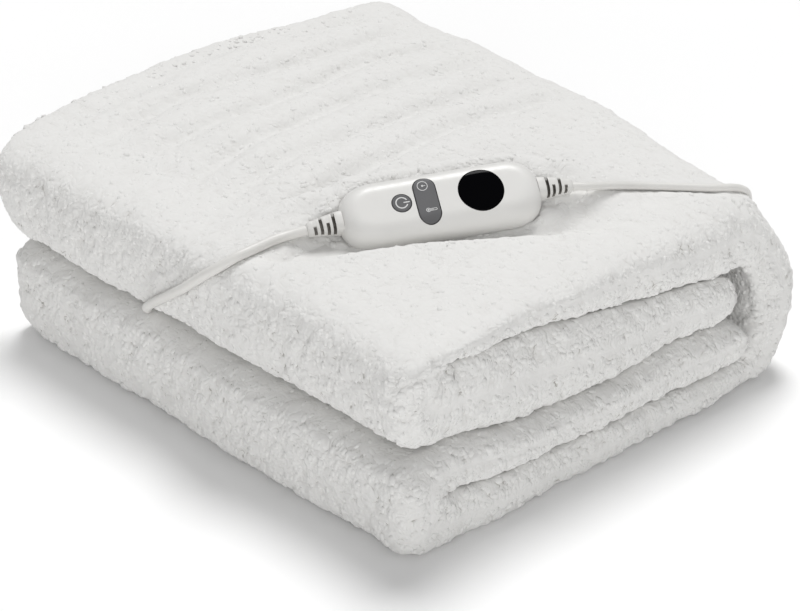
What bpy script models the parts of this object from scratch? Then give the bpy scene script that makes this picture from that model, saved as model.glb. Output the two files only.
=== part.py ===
"""Electric heated blanket, folded, with its controller and mains lead lying as in use.

The plush underblanket is folded in half along its length, and the long strip that this
makes runs back and forth: upper inner layer, upper front fold, top layer, back fold,
bottom layer, lower front fold, lower inner layer.
While it is modelled, the front folds lie along y = 0, the lengthwise fold along x = 0 and
the floor is z = 0. At the end all is moved so that the origin is on the floor, under the
middle of the folded cloth.
"""
import math

import bmesh
import bpy
from mathutils import Matrix, Vector, noise

MM = 0.001
GAP = 0.3 * MM                # between pieces that touch

# ---- sizes of the folded cloth ----------------------------------------------------------
CLOTH_WIDTH = 418 * MM        # along X, half of the flat blanket's width
LAYER_GAP = 1.6 * MM          # air between two layers
FRONT_Y = 44 * MM             # where the front folds begin
BACK_Y = 286 * MM             # where the back fold begins
UPPER_END_Y = 282 * MM        # free end of the upper inner layer
LOWER_END_Y = 295 * MM        # free end of the lower inner layer
STACK = 138 * MM              # height of the bundle at the back fold
CROWN = 17 * MM               # rise of the bundle's middle above its lengthwise fold

# Heights of the layers' boundaries, in mm, at five depths of the bundle.
DEPTHS = (44, 110, 190, 270, 330)
BOUNDARIES = {
    "top": (136, 140, 141, 139, 138),
    "under top layer": (120, 114, 104, 92, 84),
    "middle": (66, 58, 56, 56, 51),
    "over bottom layer": (36, 31, 27, 24, 24),
    "floor": (0, 0, 0, 0, 0),
}

# The front folds: depth of the tip at the lengthwise fold and at the hems, in mm, and the
# bluntness of the outline.
FRONT_FOLDS = {
    "upper": dict(tip_at_fold=-2, tip_at_hems=-6, bluntness=3.2),
    "lower": dict(tip_at_fold=-6, tip_at_hems=-4, bluntness=4.6),
}

# The back fold's outline at the lengthwise fold and at the hems, in mm.
BACK_FOLD = {
    "lengthwise fold": dict(centre=321, reach=44, bluntness=1.5, lean=0.22),
    "hems": dict(centre=330, reach=64, bluntness=3.0, lean=0.05),
}
VOID = dict(centre=300, reach=29)       # the hollow inside the back fold

# How far the cloth's rounded side reaches in from its edge, outer and inner side, in mm.
EDGE_ROUNDING = {
    "inner layer": (15, 8),
    "front fold": (17, 8),
    "top layer": (34, 9),
    "back fold": (30, 10),
    "bottom layer": (12, 8),
}
HEM_ROUNDING = 14 * MM        # of each ply's hem at -X
TOP_HEM_ROUNDING = 30 * MM    # of the uppermost ply's
# The layers below the middle lie a little askew under the others.
LOWER_SHIFT_AT_FOLD = (9 * MM, -5 * MM)
LOWER_SHIFT_AT_HEMS = (21 * MM, -2 * MM)

# Sewn channels of the heating wire on the top layer, grooves running along Y.
FIRST_GROOVE_X = -394 * MM
GROOVE_PITCH = 41 * MM
GROOVES = 6
GROOVE_DEPTH = 4.5 * MM
GROOVE_WIDTH = 7 * MM

FACE_STEPS = 43               # mesh steps along X on the outer face
LINING_STEPS = 9              # and on the inner face

# ---- sizes of the controller ------------------------------------------------------------
BODY_LENGTH = 132 * MM
BODY_WIDTH = 46 * MM
BODY_HEIGHT = 22 * MM
BODY_ROUNDING = 12 * MM       # of its upper and lower edges
END_LENGTH = 26 * MM          # over which its ends are rounded in plan
SEAM_HEIGHT = -6 * MM         # parting line of the two shells, from mid-height
CONTROLLER_PLACE = Vector((-111.3, 131.7, 154.9)) * MM
CONTROLLER_HEADING = 60       # degrees from +X, of its mains end
CONTROLLER_PITCH = 4.2        # degrees, mains end up
CONTROLLER_ROLL = 35          # degrees, face turned towards the lengthwise fold
BED_MARGINS = (78 * MM, 26 * MM)     # beyond its ends and sides, where the cloth evens out
BED_SINK = 0.5 * MM           # how deep the controller lies in the plush
PRESSED_DEPTH = 80 * MM       # below the top, where its weight is no longer felt
BED_RIM = 5 * MM              # further rise of the plush along the controller's sides
NEST_CLEARANCE = 1.2 * MM     # between the plush and the controller's underside

DISPLAY = dict(along=25.5 * MM, radius=14.6 * MM, thickness=2.4 * MM)
POWER_BUTTON = dict(along=-26.1 * MM, radius=6.1 * MM, thickness=2.0 * MM)
TWO_WAY_BUTTON = dict(along=-9.9 * MM, across=-1 * MM, length=32 * MM, width=14 * MM, thickness=2.2 * MM)
BUTTON_TRAVEL = 0.8 * MM
PROUD = 0.5 * MM              # how far buttons and display stand out of the face

RELIEF_LENGTH = 20 * MM
RELIEF_BASE = 14.4 * MM
RELIEF_TIP = 8.4 * MM
RELIEF_HEIGHT = -2 * MM       # of their axis, from mid-height
# How far their tips hang down, bent by the leads.
MAINS_RELIEF_DROOP = 1.8 * MM
BLANKET_RELIEF_DROOP = 1.0 * MM
RELIEF_SLOTS = (4.2, 8.2, 12.2, 16.0)        # places of its slots, in mm from the body
SLOT_WIDTH = 1.5 * MM

# ---- sizes of the cords -----------------------------------------------------------------
BLANKET_LEAD_DIAMETER = 6.6 * MM
MAINS_LEAD_DIAMETER = 5.4 * MM

# Route of each lead, in mm, by hand, from its strain relief on.
BLANKET_LEAD_ROUTE = (
    (-163.6, 36.5, 143.2), (-163.4, 27, 143), (-163.6, 16, 142.5), (-165.6, 8, 140.8),
    (-169.2, 1.5, 137), (-174.6, -3.6, 132.2), (-181.5, -6.7, 126.4), (-191, -7.3, 118.6),
    (-203, -7.2, 109), (-217, -6.5, 99.1), (-230, -5.4, 90), (-240.5, -4.2, 82.2),
    (-248.5, -1.2, 75.8), (-255, 4.4, 70.2),
)
MAINS_LEAD_ROUTE = (
    (-60.8, 229.2, 153.9), (-59.2, 243.7, 149.8), (-55.3, 258.4, 146.1), (-48, 269.8, 144.5),
    (-39.9, 280.4, 143.4), (-32, 291.2, 142.1), (-25, 302.5, 140.7), (-21.8, 312.3, 138.8),
    (-22, 322.3, 134.3), (-25.2, 331.5, 127.9), (-30.6, 340.5, 119.3), (-37, 349.5, 107.8),
    (-44, 359.6, 94), (-50.5, 367.3, 80), (-56.5, 371.5, 65), (-62, 373, 48),
    (-68, 375, 31.5), (-75, 380, 17), (-85, 389.5, 7.5), (-96, 398, 3.4), (-106, 401.9, 2.9),
)
COIL_PLACE = (-137 * MM, 441 * MM)
COIL_INNER_TURN = 22 * MM     # radius of the innermost turn's middle
COIL_TURNS_ABREAST = 4
COIL_LAYERS = 2
COIL_ENTRY = 21 * MM          # before the tangent point, where the lead meets the coil
TAIL_ROUTE = ((-158, 402.8, 5.5), (-175, 405, 4.4), (-191, 412, 5.2), (-203, 419.5, 6.6))
PLUG_PLACE = (-209 * MM, 423 * MM)
PLUG_HEADING = 148            # degrees from +X, of its pins
PLUG_HEIGHT = 14 * MM
PLUG_LENGTH = 34 * MM
PLUG_TAIL_LENGTH = 24 * MM
PIN_SPACING = 19 * MM
PIN_DIAMETER = 4 * MM
PIN_LENGTH = 19 * MM


def through(places, values, at):
    """Value at a place on the smooth curve through a short row of values."""
    last = len(places) - 1
    slopes = []
    for i in range(last + 1):
        a, b = max(i - 1, 0), min(i + 1, last)
        slopes.append((values[b] - values[a]) / (places[b] - places[a]))
    at = min(max(at, places[0]), places[last])
    i = next(k for k in range(last) if at <= places[k + 1])
    span = places[i + 1] - places[i]
    t = (at - places[i]) / span
    return ((1 + 2 * t) * (1 - t) ** 2 * values[i] + t * (1 - t) ** 2 * span * slopes[i]
            + t * t * (3 - 2 * t) * values[i + 1] + t * t * (t - 1) * span * slopes[i + 1])


def ease(low, high, value):
    """0 below low, 1 above high, smooth between."""
    t = min(max((value - low) / (high - low), 0.0), 1.0)
    return t * t * (3 - 2 * t)


def boundary(name, y):
    return through(DEPTHS, BOUNDARIES[name], y / MM) * MM


def spread(first, last, count):
    return [first + (last - first) * i / (count - 1) for i in range(count)]


def power(value, exponent):
    return math.copysign(abs(value) ** exponent, value)


def front_fold(which, share, low, high, crease):
    """Cuts round a front fold: its outer outline and the end of its inner crease."""
    form = FRONT_FOLDS[which]
    tip = (form["tip_at_hems"] + (form["tip_at_fold"] - form["tip_at_hems"]) * share) * MM
    cuts = []
    for angle in spread(-75, 75, 9):
        turn = math.radians(angle)
        c = power(math.cos(turn), 2 / form["bluntness"])
        s = power(math.sin(turn), 2 / form["bluntness"])
        outer = (FRONT_Y - (FRONT_Y - tip) * c, (low + high) / 2 + (high - low) / 2 * s)
        inner = (FRONT_Y - 9 * MM * c, crease + LAYER_GAP / 2 * s)
        cuts.append(("front fold", outer, inner))
    return cuts


def section(x):
    """The strip's cuts from one free end to the other: (stretch, outer, inner) points."""
    share = 1 + x / CLOTH_WIDTH                      # 1 at the lengthwise fold, 0 at the hems
    at_fold, at_hems = BACK_FOLD["lengthwise fold"], BACK_FOLD["hems"]
    back = {k: at_hems[k] + (at_fold[k] - at_hems[k]) * share for k in at_fold}
    half_gap = LAYER_GAP / 2
    cuts = []

    def layer(stretch, first, last, count, outer, outer_side, inner, inner_side):
        for y in spread(first, last, count):
            cuts.append((stretch, (y, boundary(outer, y) + outer_side * half_gap),
                         (y, boundary(inner, y) + inner_side * half_gap)))

    layer("inner layer", UPPER_END_Y, FRONT_Y, 7, "middle", 1, "under top layer", -1)
    cuts += front_fold("upper", share, boundary("middle", FRONT_Y) + half_gap,
                       boundary("top", FRONT_Y), boundary("under top layer", FRONT_Y))
    layer("top layer", FRONT_Y, BACK_Y, 27, "top", 0, "under top layer", 1)
    for angle in spread(80, -80, 11):
        turn = math.radians(angle)
        c = power(math.cos(turn), 2 / back["bluntness"])
        s = power(math.sin(turn), 2 / back["bluntness"])
        rise = STACK / 2 * s
        outer = ((back["centre"] + back["reach"] * c) * MM - back["lean"] * rise, STACK / 2 + rise)
        top = boundary("under top layer", BACK_Y) + half_gap
        low = boundary("over bottom layer", BACK_Y) - half_gap
        inner = ((VOID["centre"] + VOID["reach"] * math.cos(turn)) * MM,
                 (top + low) / 2 + (top - low) / 2 * math.sin(turn))
        cuts.append(("back fold", outer, inner))
    layer("bottom layer", BACK_Y + 20 * MM, FRONT_Y, 6, "floor", 0, "over bottom layer", -1)
    cuts += front_fold("lower", share, 0.0, boundary("middle", FRONT_Y) - half_gap,
                       boundary("over bottom layer", FRONT_Y))
    layer("inner layer", FRONT_Y, LOWER_END_Y, 7, "middle", -1, "over bottom layer", 1)
    return cuts


def crown(x, y):
    """Rise of the top towards the hems, where the plies lie less flat."""
    along = 1 - ease(-175 * MM, -25 * MM, x)
    across = ease(0, 130 * MM, y) * (1 - 0.7 * ease(230 * MM, 400 * MM, y))
    return CROWN * along * (0.25 + 0.75 * across)


def settle(point, on_face):
    """Smooth shift of space that crowns the bundle and makes its layers uneven."""
    x, y, z = point
    low = 1 - ease(30 * MM, 100 * MM, z)
    share = 1 + x / CLOTH_WIDTH
    shift = [h + (f - h) * share for f, h in zip(LOWER_SHIFT_AT_FOLD, LOWER_SHIFT_AT_HEMS)]
    x += shift[0] * low
    y += shift[1] * low
    level = min(z / STACK, 1.1)
    z += crown(x, y) * level ** 1.6
    here = Vector((x, y, z))
    lift = noise.noise(here * 13 + Vector((3.1, 0, 0))) * 4 * MM
    sway = noise.noise(here * 12 + Vector((0, 7.7, 0))) * 5 * MM
    push = noise.noise(here * 15 + Vector((0, 0, 5.2))) * 4 * MM
    return press_bed(Vector((x + push, y + sway, z + lift * level)), on_face)


def controller_matrix():
    turn = (Matrix.Rotation(math.radians(CONTROLLER_HEADING), 4, "Z")
            @ Matrix.Rotation(math.radians(-CONTROLLER_PITCH), 4, "Y")
            @ Matrix.Rotation(math.radians(CONTROLLER_ROLL), 4, "X"))
    return Matrix.Translation(CONTROLLER_PLACE) @ turn


def press_bed(point, on_face):
    """Lays the top of the cloth along the controller's underside, and less so what is below."""
    frame = controller_matrix()
    normal = frame.to_3x3() @ Vector((0, 0, 1))
    under = CONTROLLER_PLACE - normal * (BODY_HEIGHT / 2 - BED_SINK)
    bed_z = under.z - (normal.x * (point.x - under.x) + normal.y * (point.y - under.y)) / normal.z
    place = frame.inverted() @ Vector((point.x, point.y, bed_z))
    past = [max(abs(v) - size / 2, 0.0) for v, size in zip(place, (BODY_LENGTH, BODY_WIDTH))]
    outside = math.hypot(*(p / margin for p, margin in zip(past, BED_MARGINS)))
    inset = min(BODY_LENGTH / 2 - abs(place.x), BODY_WIDTH / 2 - abs(place.y))
    surface = boundary("top", point.y) + crown(point.x, point.y)
    if on_face:
        surface += (point.z - surface) * ease(0.75 * STACK, 0.95 * STACK, point.z)
    weight = (1 - ease(0.1, 1.0, outside)) * (1 - ease(0, PRESSED_DEPTH, surface - point.z))
    if weight == 0:
        return point
    beside = 1 - ease(BODY_LENGTH / 2 - 16 * MM, BODY_LENGTH / 2 - 2 * MM, abs(place.x))
    rim = BED_RIM * beside * (1 - ease(-5 * MM, 2 * MM, inset))
    laid = frame.inverted() @ (point + Vector((0, 0, (bed_z + rim - surface) * weight)))
    if on_face and inset > 0:
        curl = 1 - math.sqrt(1 - (1 - min(inset / BODY_ROUNDING, 1)) ** 2)
        under_shell = -BODY_HEIGHT / 2 + curl * (BODY_HEIGHT / 2 + SEAM_HEIGHT) - NEST_CLEARANCE
        laid.z += (min(laid.z, under_shell) - laid.z) * weight
    return frame @ laid


def channels(x, y):
    """Depth of the grooves sewn between the heating channels."""
    fade = ease(30 * MM, 95 * MM, y) * (1 - ease(300 * MM, 345 * MM, y))
    depth = 0.0
    for k in range(GROOVES):
        groove_x = FIRST_GROOVE_X + k * GROOVE_PITCH + 3 * MM * math.sin(y / (38 * MM) + 2 * k)
        depth = max(depth, math.exp(-((x - groove_x) / GROOVE_WIDTH) ** 2))
    return GROOVE_DEPTH * depth * fade


def side_insets(rounding_outer, rounding_inner):
    """(share of the thickness, inset) round the cloth's side, outer face to inner face."""
    for share in (0.93, 0.65, 0.15, -0.4, -0.85):
        rounding = rounding_outer if share > 0 else rounding_inner
        yield share, rounding * (1 - (1 - abs(share) ** 2.3) ** (1 / 2.3))


def ring(stretch):
    """(x, share of the thickness) of the points round one cut of the strip."""
    outer_edge, inner_edge = (v * MM for v in EDGE_ROUNDING[stretch])
    hem = HEM_ROUNDING
    outer_hem = TOP_HEM_ROUNDING if stretch in ("top layer", "front fold") else HEM_ROUNDING
    points = [(x, 1.0) for x in spread(outer_hem - CLOTH_WIDTH, -outer_edge, FACE_STEPS)]
    points += [(-inset, share) for share, inset in side_insets(outer_edge, inner_edge)]
    points += [(x, -1.0) for x in spread(-inner_edge, hem - CLOTH_WIDTH, LINING_STEPS)]
    for share in (-0.9, -0.5, -0.12, 0.0, 0.12, 0.5, 0.9):
        ply = abs(abs(share) - 0.5) * 2
        rounding = outer_hem if share > 0.5 else hem
        inset = rounding * (1 - math.sqrt(1 - min(ply, 0.999) ** 2))
        points.append((inset - CLOTH_WIDTH, share))
    return points


def smoothed_rings(stretches):
    """Rings that change gently from one stretch of the strip to the next."""
    rings = [ring(s) for s in stretches]
    for _ in range(3):
        rings = [[tuple((rings[max(i - 1, 0)][j][k] + 2 * rings[i][j][k]
                         + rings[min(i + 1, len(rings) - 1)][j][k]) / 4 for k in (0, 1))
                  for j in range(len(rings[0]))] for i in range(len(rings))]
    return rings


def blanket_mesh():
    stretches = [cut[0] for cut in section(0.0)]
    rings = smoothed_rings(stretches)
    sections = {}
    body = bmesh.new()
    grid = []

    def point(i, x, share, squeeze=1.0, forward=0.0):
        key = round(x, 6)
        if key not in sections:
            sections[key] = section(x)
        stretch, outer, inner = sections[key][i]
        middle = [(a + b) / 2 for a, b in zip(outer, inner)]
        half = [(a - b) / 2 for a, b in zip(outer, inner)]
        y, z = (m + h * share * squeeze for m, h in zip(middle, half))
        on_face = stretch in ("top layer", "back fold", "front fold") and share > 0.9
        if on_face and z > 0.6 * STACK:
            z -= channels(x, y)
        return settle((x, y + forward, z), on_face)

    ends = ((0.97, 4 * MM), (0.8, 9 * MM), (0.45, 13 * MM))
    last = len(rings) - 1
    order = [(0, s, f) for s, f in reversed(ends)] + [(i, 1.0, 0.0) for i in range(last + 1)]
    order += [(last, s, f) for s, f in ends]
    for i, squeeze, forward in order:
        grid.append([body.verts.new(point(i, x, share, squeeze, forward)) for x, share in rings[i]])
    count = len(grid[0])
    for low, high in zip(grid, grid[1:]):
        for j in range(count):
            body.faces.new((low[j], low[(j + 1) % count], high[(j + 1) % count], high[j]))
    caps = [body.faces.new(grid[0]), body.faces.new(list(reversed(grid[-1])))]
    bmesh.ops.triangulate(body, faces=caps, ngon_method="EAR_CLIP")
    bmesh.ops.recalc_face_normals(body, faces=body.faces)
    mesh = bpy.data.meshes.new("blanket")
    body.to_mesh(mesh)
    body.free()
    mesh.shade_smooth()
    return mesh


# ---- helpers for the hard pieces ---------------------------------------------------------
def material(name, colour, roughness, metallic=0.0):
    finish = bpy.data.materials.new(name)
    finish.use_nodes = True
    shader = finish.node_tree.nodes["Principled BSDF"]
    shader.inputs["Base Color"].default_value = (*colour, 1)
    shader.inputs["Roughness"].default_value = roughness
    shader.inputs["Metallic"].default_value = metallic
    return finish


def loft(name, rings):
    """Closed solid through rings of equal count, first to last, capped flat."""
    body = bmesh.new()
    rows = [[body.verts.new(p) for p in row] for row in rings]
    count = len(rows[0])
    for low, high in zip(rows, rows[1:]):
        for j in range(count):
            body.faces.new((low[j], low[(j + 1) % count], high[(j + 1) % count], high[j]))
    body.faces.new(rows[0])
    body.faces.new(list(reversed(rows[-1])))
    bmesh.ops.recalc_face_normals(body, faces=body.faces)
    mesh = bpy.data.meshes.new(name)
    body.to_mesh(mesh)
    body.free()
    mesh.shade_smooth()
    mesh.set_sharp_from_angle(angle=math.radians(35))
    return mesh


def place(name, data, finish, parent, location=(0, 0, 0)):
    thing = bpy.data.objects.new(name, data)
    bpy.context.scene.collection.objects.link(thing)
    thing.parent = parent
    thing.location = location
    if finish:
        data.materials.append(finish)
    return thing


def cut(piece, name, data, parent, location):
    """Cuts the piece with a hidden cutter."""
    cutter = place(name, data, None, parent, location)
    cutter.hide_render = True
    cutter.display_type = "WIRE"
    difference = piece.modifiers.new(name, "BOOLEAN")
    difference.operation = "DIFFERENCE"
    difference.object = cutter


def disc_rings(radius, low, high, count, bevel=0.0):
    levels = [(low, radius), (high - bevel, radius)] + ([(high, radius - bevel)] if bevel else [])
    return [[(r * math.cos(a), r * math.sin(a), z) for a in spread(0, math.tau, count + 1)[:-1]]
            for z, r in levels]


def stadium_rings(length, width, low, high, bevel=0.0):
    """Long round-ended key, its length along Y."""
    levels = [(low, 0.0), (high - bevel, 0.0)] + ([(high, bevel)] if bevel else [])
    rings = []
    for z, inset in levels:
        r = width / 2 - inset
        straight = (length - width) / 2
        rings.append([(r * math.cos(a), math.copysign(straight, b) + r * math.sin(a), z)
                      for b, first in ((1, 0), (-1, math.pi))
                      for a in spread(first, first + math.pi, 11)])
    return rings


# ---- controller --------------------------------------------------------------------------
def body_outline(inset, z):
    """Plan outline of the controller body, drawn in by an inset, at a height."""
    half_width, straight = BODY_WIDTH / 2 - inset, BODY_LENGTH / 2 - END_LENGTH
    end = END_LENGTH - inset
    points = []
    for side in (1, -1):
        for angle in spread(-80, 80, 13):
            turn = math.radians(angle)
            c, s = power(math.cos(turn), 2 / 2.4), power(math.sin(turn), 2 / 2.4)
            points.append((side * (straight + end * c), side * half_width * s, z))
    return points


def shell_rings(outer_z, seam_z, flat_levels):
    """Rings of one half shell, from its parting line to its face."""
    rings = [body_outline(0.0, seam_z)]
    rise = outer_z - seam_z
    for angle in (0, 18, 36, 54, 72):
        turn = math.radians(angle)
        rings.append(body_outline(BODY_ROUNDING * (1 - math.cos(turn)),
                                  seam_z + rise * (0.11 + 0.83 * math.sin(turn))))
    rings += [body_outline(inset, outer_z - math.copysign(drop, rise)) for inset, drop in flat_levels]
    return rings


def build_controller(parent, white, grey, black):
    frame = bpy.data.objects.new("controller", None)
    bpy.context.scene.collection.objects.link(frame)
    frame.parent = parent
    frame.matrix_local = controller_matrix()
    top = BODY_HEIGHT / 2
    cover = place("controller_cover", loft("controller_cover", shell_rings(
        top, SEAM_HEIGHT + GAP / 2, ((9 * MM, 0.45 * MM), (13 * MM, 0.1 * MM), (18 * MM, 0)))), white, frame)
    place("controller_base", loft("controller_base", shell_rings(
        -top, SEAM_HEIGHT - GAP / 2, ((10 * MM, 0.2 * MM), (14 * MM, 0)))), white, frame)

    low = top - DISPLAY["thickness"]
    spot = (DISPLAY["along"], 0, 0)
    place("display_window", loft("display_window", disc_rings(
        DISPLAY["radius"], low, top + PROUD, 36, PROUD)), black, frame, spot)
    cut(cover, "display_seat", loft("display_seat", disc_rings(
        DISPLAY["radius"] + GAP, low - GAP, top + 2 * MM, 36)), frame, spot)

    low = top - POWER_BUTTON["thickness"]
    spot = (POWER_BUTTON["along"], 0, 0)
    place("power_button", loft("power_button", disc_rings(
        POWER_BUTTON["radius"], low, top + PROUD, 28, 0.4 * MM)), grey, frame, spot)
    cut(cover, "power_well", loft("power_well", disc_rings(
        POWER_BUTTON["radius"] + GAP, low - BUTTON_TRAVEL - GAP, top + 2 * MM, 28)), frame, spot)

    low = top - TWO_WAY_BUTTON["thickness"]
    spot = (TWO_WAY_BUTTON["along"], TWO_WAY_BUTTON["across"], 0)
    length, width = TWO_WAY_BUTTON["length"], TWO_WAY_BUTTON["width"]
    place("two_way_button", loft("two_way_button", stadium_rings(
        length, width, low, top + PROUD, 0.4 * MM)), grey, frame, spot)
    cut(cover, "two_way_well", loft("two_way_well", stadium_rings(
        length + 2 * GAP, width + 2 * GAP, low - BUTTON_TRAVEL - GAP, top + 2 * MM)), frame, spot)

    for name, side in (("relief_mains_side", 1), ("relief_blanket_side", -1)):
        place(name, loft(name, relief_rings(side)), white, frame,
              (side * (BODY_LENGTH / 2 + GAP), 0, RELIEF_HEIGHT))
    return frame


def drooping(side, along):
    """Middle of a relief, a way along it, and its slope there, in the plane across the body."""
    roll = math.radians(CONTROLLER_ROLL)
    droop = MAINS_RELIEF_DROOP if side > 0 else BLANKET_RELIEF_DROOP
    down = Vector((0, -math.sin(roll), -math.cos(roll))) * droop
    return down * (along / RELIEF_LENGTH) ** 2, down * 2 * along / RELIEF_LENGTH ** 2


def relief_rings(side):
    """Tapered, square-shouldered sleeve with slots round it, from the body outwards."""
    def girth(along):
        return (RELIEF_BASE + (RELIEF_TIP - RELIEF_BASE) * along / RELIEF_LENGTH) / 2
    levels = [(0.0, girth(0))]
    for slot in RELIEF_SLOTS:
        first, last = slot * MM - SLOT_WIDTH / 2, slot * MM + SLOT_WIDTH / 2
        levels += [(first, girth(first)), (first, girth(first) - 1.3 * MM),
                   (last, girth(last) - 1.3 * MM), (last, girth(last))]
    levels += [(RELIEF_LENGTH - 0.8 * MM, girth(RELIEF_LENGTH)), (RELIEF_LENGTH, RELIEF_TIP / 2 - 0.6 * MM)]
    rings = []
    for along, r in levels:
        middle, slope = drooping(side, along)
        ring = []
        for a in spread(0, math.tau, 17)[:-1]:
            spoke = Vector((0, r * power(math.cos(a), 2 / 3), r * power(math.sin(a), 2 / 3)))
            ring.append(Vector((side * (along - slope.dot(spoke)), 0, 0)) + middle + spoke)
        rings.append(ring)
    return rings


# ---- cords, coil and plug ----------------------------------------------------------------
def smooth_route(points, step):
    """Points a step apart on the smooth curve through a route's own points."""
    points = [points[0] * 2 - points[1]] + list(points) + [points[-1] * 2 - points[-2]]
    fine = []
    for a, b, c, d in zip(points, points[1:], points[2:], points[3:]):
        for k in range(24):
            t = k / 24
            fine.append(0.5 * (2 * b + (c - a) * t + (2 * a - 5 * b + 4 * c - d) * t * t
                               + (3 * b - a - 3 * c + d) * t ** 3))
    fine.append(points[-2])
    lengths = [0.0]
    for p, q in zip(fine, fine[1:]):
        lengths.append(lengths[-1] + (q - p).length)
    count = max(round(lengths[-1] / step), 2)
    route, k = [], 0
    for target in spread(0, lengths[-1], count + 1):
        while k < len(fine) - 2 and lengths[k + 1] < target:
            k += 1
        span = lengths[k + 1] - lengths[k]
        route.append(fine[k].lerp(fine[k + 1], (target - lengths[k]) / span))
    return route


def cord(name, points, diameter, finish, parent):
    curve = bpy.data.curves.new(name, "CURVE")
    curve.dimensions = "3D"
    curve.bevel_depth = diameter / 2
    curve.bevel_resolution = 2
    curve.use_fill_caps = True
    route = smooth_route(points, 2.5 * diameter)
    spline = curve.splines.new("POLY")
    spline.points.add(len(route) - 1)
    for point, at in zip(spline.points, route):
        point.co = (*at, 1)
    return place(name, curve, finish, parent)


def coil_rings():
    """Turned ring that the coil's turns fill: rings of points round its section."""
    radius = MAINS_LEAD_DIAMETER / 2
    inner = COIL_INNER_TURN - radius
    outer = COIL_INNER_TURN + (COIL_TURNS_ABREAST - 1) * 2 * radius + radius
    height = COIL_LAYERS * 2 * radius
    chamfer = 0.6 * radius
    outline = [(inner, chamfer), (inner + chamfer, 0), (outer - chamfer, 0), (outer, chamfer),
               (outer, height - chamfer), (outer - chamfer, height), (inner + chamfer, height),
               (inner, height - chamfer)]
    return outline


def coil_mesh():
    body = bmesh.new()
    rows = []
    for angle in spread(0, math.tau, 41)[:-1]:
        rows.append([body.verts.new((r * math.cos(angle), r * math.sin(angle), z)) for r, z in coil_rings()])
    for row, after in zip(rows, rows[1:] + rows[:1]):
        for j in range(len(row)):
            k = (j + 1) % len(row)
            body.faces.new((row[j], row[k], after[k], after[j]))
    bmesh.ops.recalc_face_normals(body, faces=body.faces)
    mesh = bpy.data.meshes.new("mains_lead_coil")
    body.to_mesh(mesh)
    body.free()
    return mesh


def plug_rings():
    """Flat two-pin plug, from its tail to its face, along +X; its axis is z = 0."""
    levels = (  # along, half width, half height, in mm
        (0, 4.2, 4.2), (PLUG_TAIL_LENGTH / MM * 0.9, 6.2, 5.2), (PLUG_TAIL_LENGTH / MM, 9.0, 6.0),
        (PLUG_TAIL_LENGTH / MM + 6, 13.5, 6.8), (PLUG_TAIL_LENGTH / MM + 13, 17.0, 7.0),
        (PLUG_TAIL_LENGTH / MM + 33, 17.5, 7.0), ((PLUG_TAIL_LENGTH + PLUG_LENGTH) / MM, 16.9, 6.4),
    )
    return [[(x * MM, w * MM * power(math.cos(a), 0.55), h * MM * power(math.sin(a), 0.55))
             for a in spread(0, math.tau, 25)[:-1]] for x, w, h in levels]


def pin_rings():
    r = PIN_DIAMETER / 2
    levels = ((0, r * 0.94), (PIN_LENGTH * 0.5, r * 0.94), (PIN_LENGTH * 0.5, r),
              (PIN_LENGTH - 1.2 * MM, r), (PIN_LENGTH, r * 0.5))
    return [[(x, q * math.cos(a), q * math.sin(a)) for a in spread(0, math.tau, 15)[:-1]]
            for x, q in levels]


def build_cords(parent, white, steel):
    frame = controller_matrix()
    for name, side, route, diameter in (
            ("blanket_lead", -1, BLANKET_LEAD_ROUTE, BLANKET_LEAD_DIAMETER),
            ("mains_lead", 1, MAINS_LEAD_ROUTE, MAINS_LEAD_DIAMETER)):
        tip, slope = drooping(side, RELIEF_LENGTH)
        exit_at = Vector((side * (BODY_LENGTH / 2 + GAP + RELIEF_LENGTH), 0, RELIEF_HEIGHT)) + tip
        onward = (Vector((side, 0, 0)) + slope).normalized()
        points = [frame @ (exit_at + onward * (GAP + way)) for way in (0, 2 * diameter)]
        points += [Vector(p) * MM for p in route]
        if side > 0:
            near_side = COIL_PLACE[1] - coil_outer_turn()
            points += [Vector((COIL_PLACE[0] + COIL_ENTRY, near_side, diameter / 2 + 0.1 * MM))]
        cord(name, points, diameter, white, parent)
    coil = place("mains_lead_coil", coil_mesh(), white, parent, (*COIL_PLACE, 0.1 * MM))
    back = (Matrix.Translation((*PLUG_PLACE, PLUG_HEIGHT / 2 + 0.1 * MM))
            @ Matrix.Rotation(math.radians(PLUG_HEADING), 4, "Z"))
    plug = bpy.data.objects.new("plug", None)
    bpy.context.scene.collection.objects.link(plug)
    plug.parent = parent
    plug.matrix_local = back
    place("plug_body", loft("plug_body", plug_rings()), white, plug)
    for k, side in enumerate((1, -1)):
        place(f"plug_pin_{k + 1}", loft(f"plug_pin_{k + 1}", pin_rings()), steel, plug,
              (PLUG_TAIL_LENGTH + PLUG_LENGTH + GAP, side * PIN_SPACING / 2, 0))
    tail = [Vector(p) * MM for p in TAIL_ROUTE]
    tail += [back @ Vector((-1.5 * MAINS_LEAD_DIAMETER, 0, 0)), back @ Vector((-GAP, 0, 0))]
    cord("mains_lead_tail", tail, MAINS_LEAD_DIAMETER, white, parent)
    return coil


def coil_outer_turn():
    return COIL_INNER_TURN + (COIL_TURNS_ABREAST - 1) * MAINS_LEAD_DIAMETER


# ---- the whole ---------------------------------------------------------------------------
for thing in list(bpy.data.objects):
    bpy.data.objects.remove(thing)

plush = material("white plush", (0.86, 0.85, 0.82), 0.95)
white_plastic = material("warm white plastic", (0.80, 0.79, 0.75), 0.35)
grey_plastic = material("grey key plastic", (0.16, 0.16, 0.17), 0.45)
black_glass = material("black display", (0.01, 0.01, 0.012), 0.08)
bright_metal = material("nickel-plated brass", (0.72, 0.71, 0.68), 0.25, 1.0)

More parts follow.
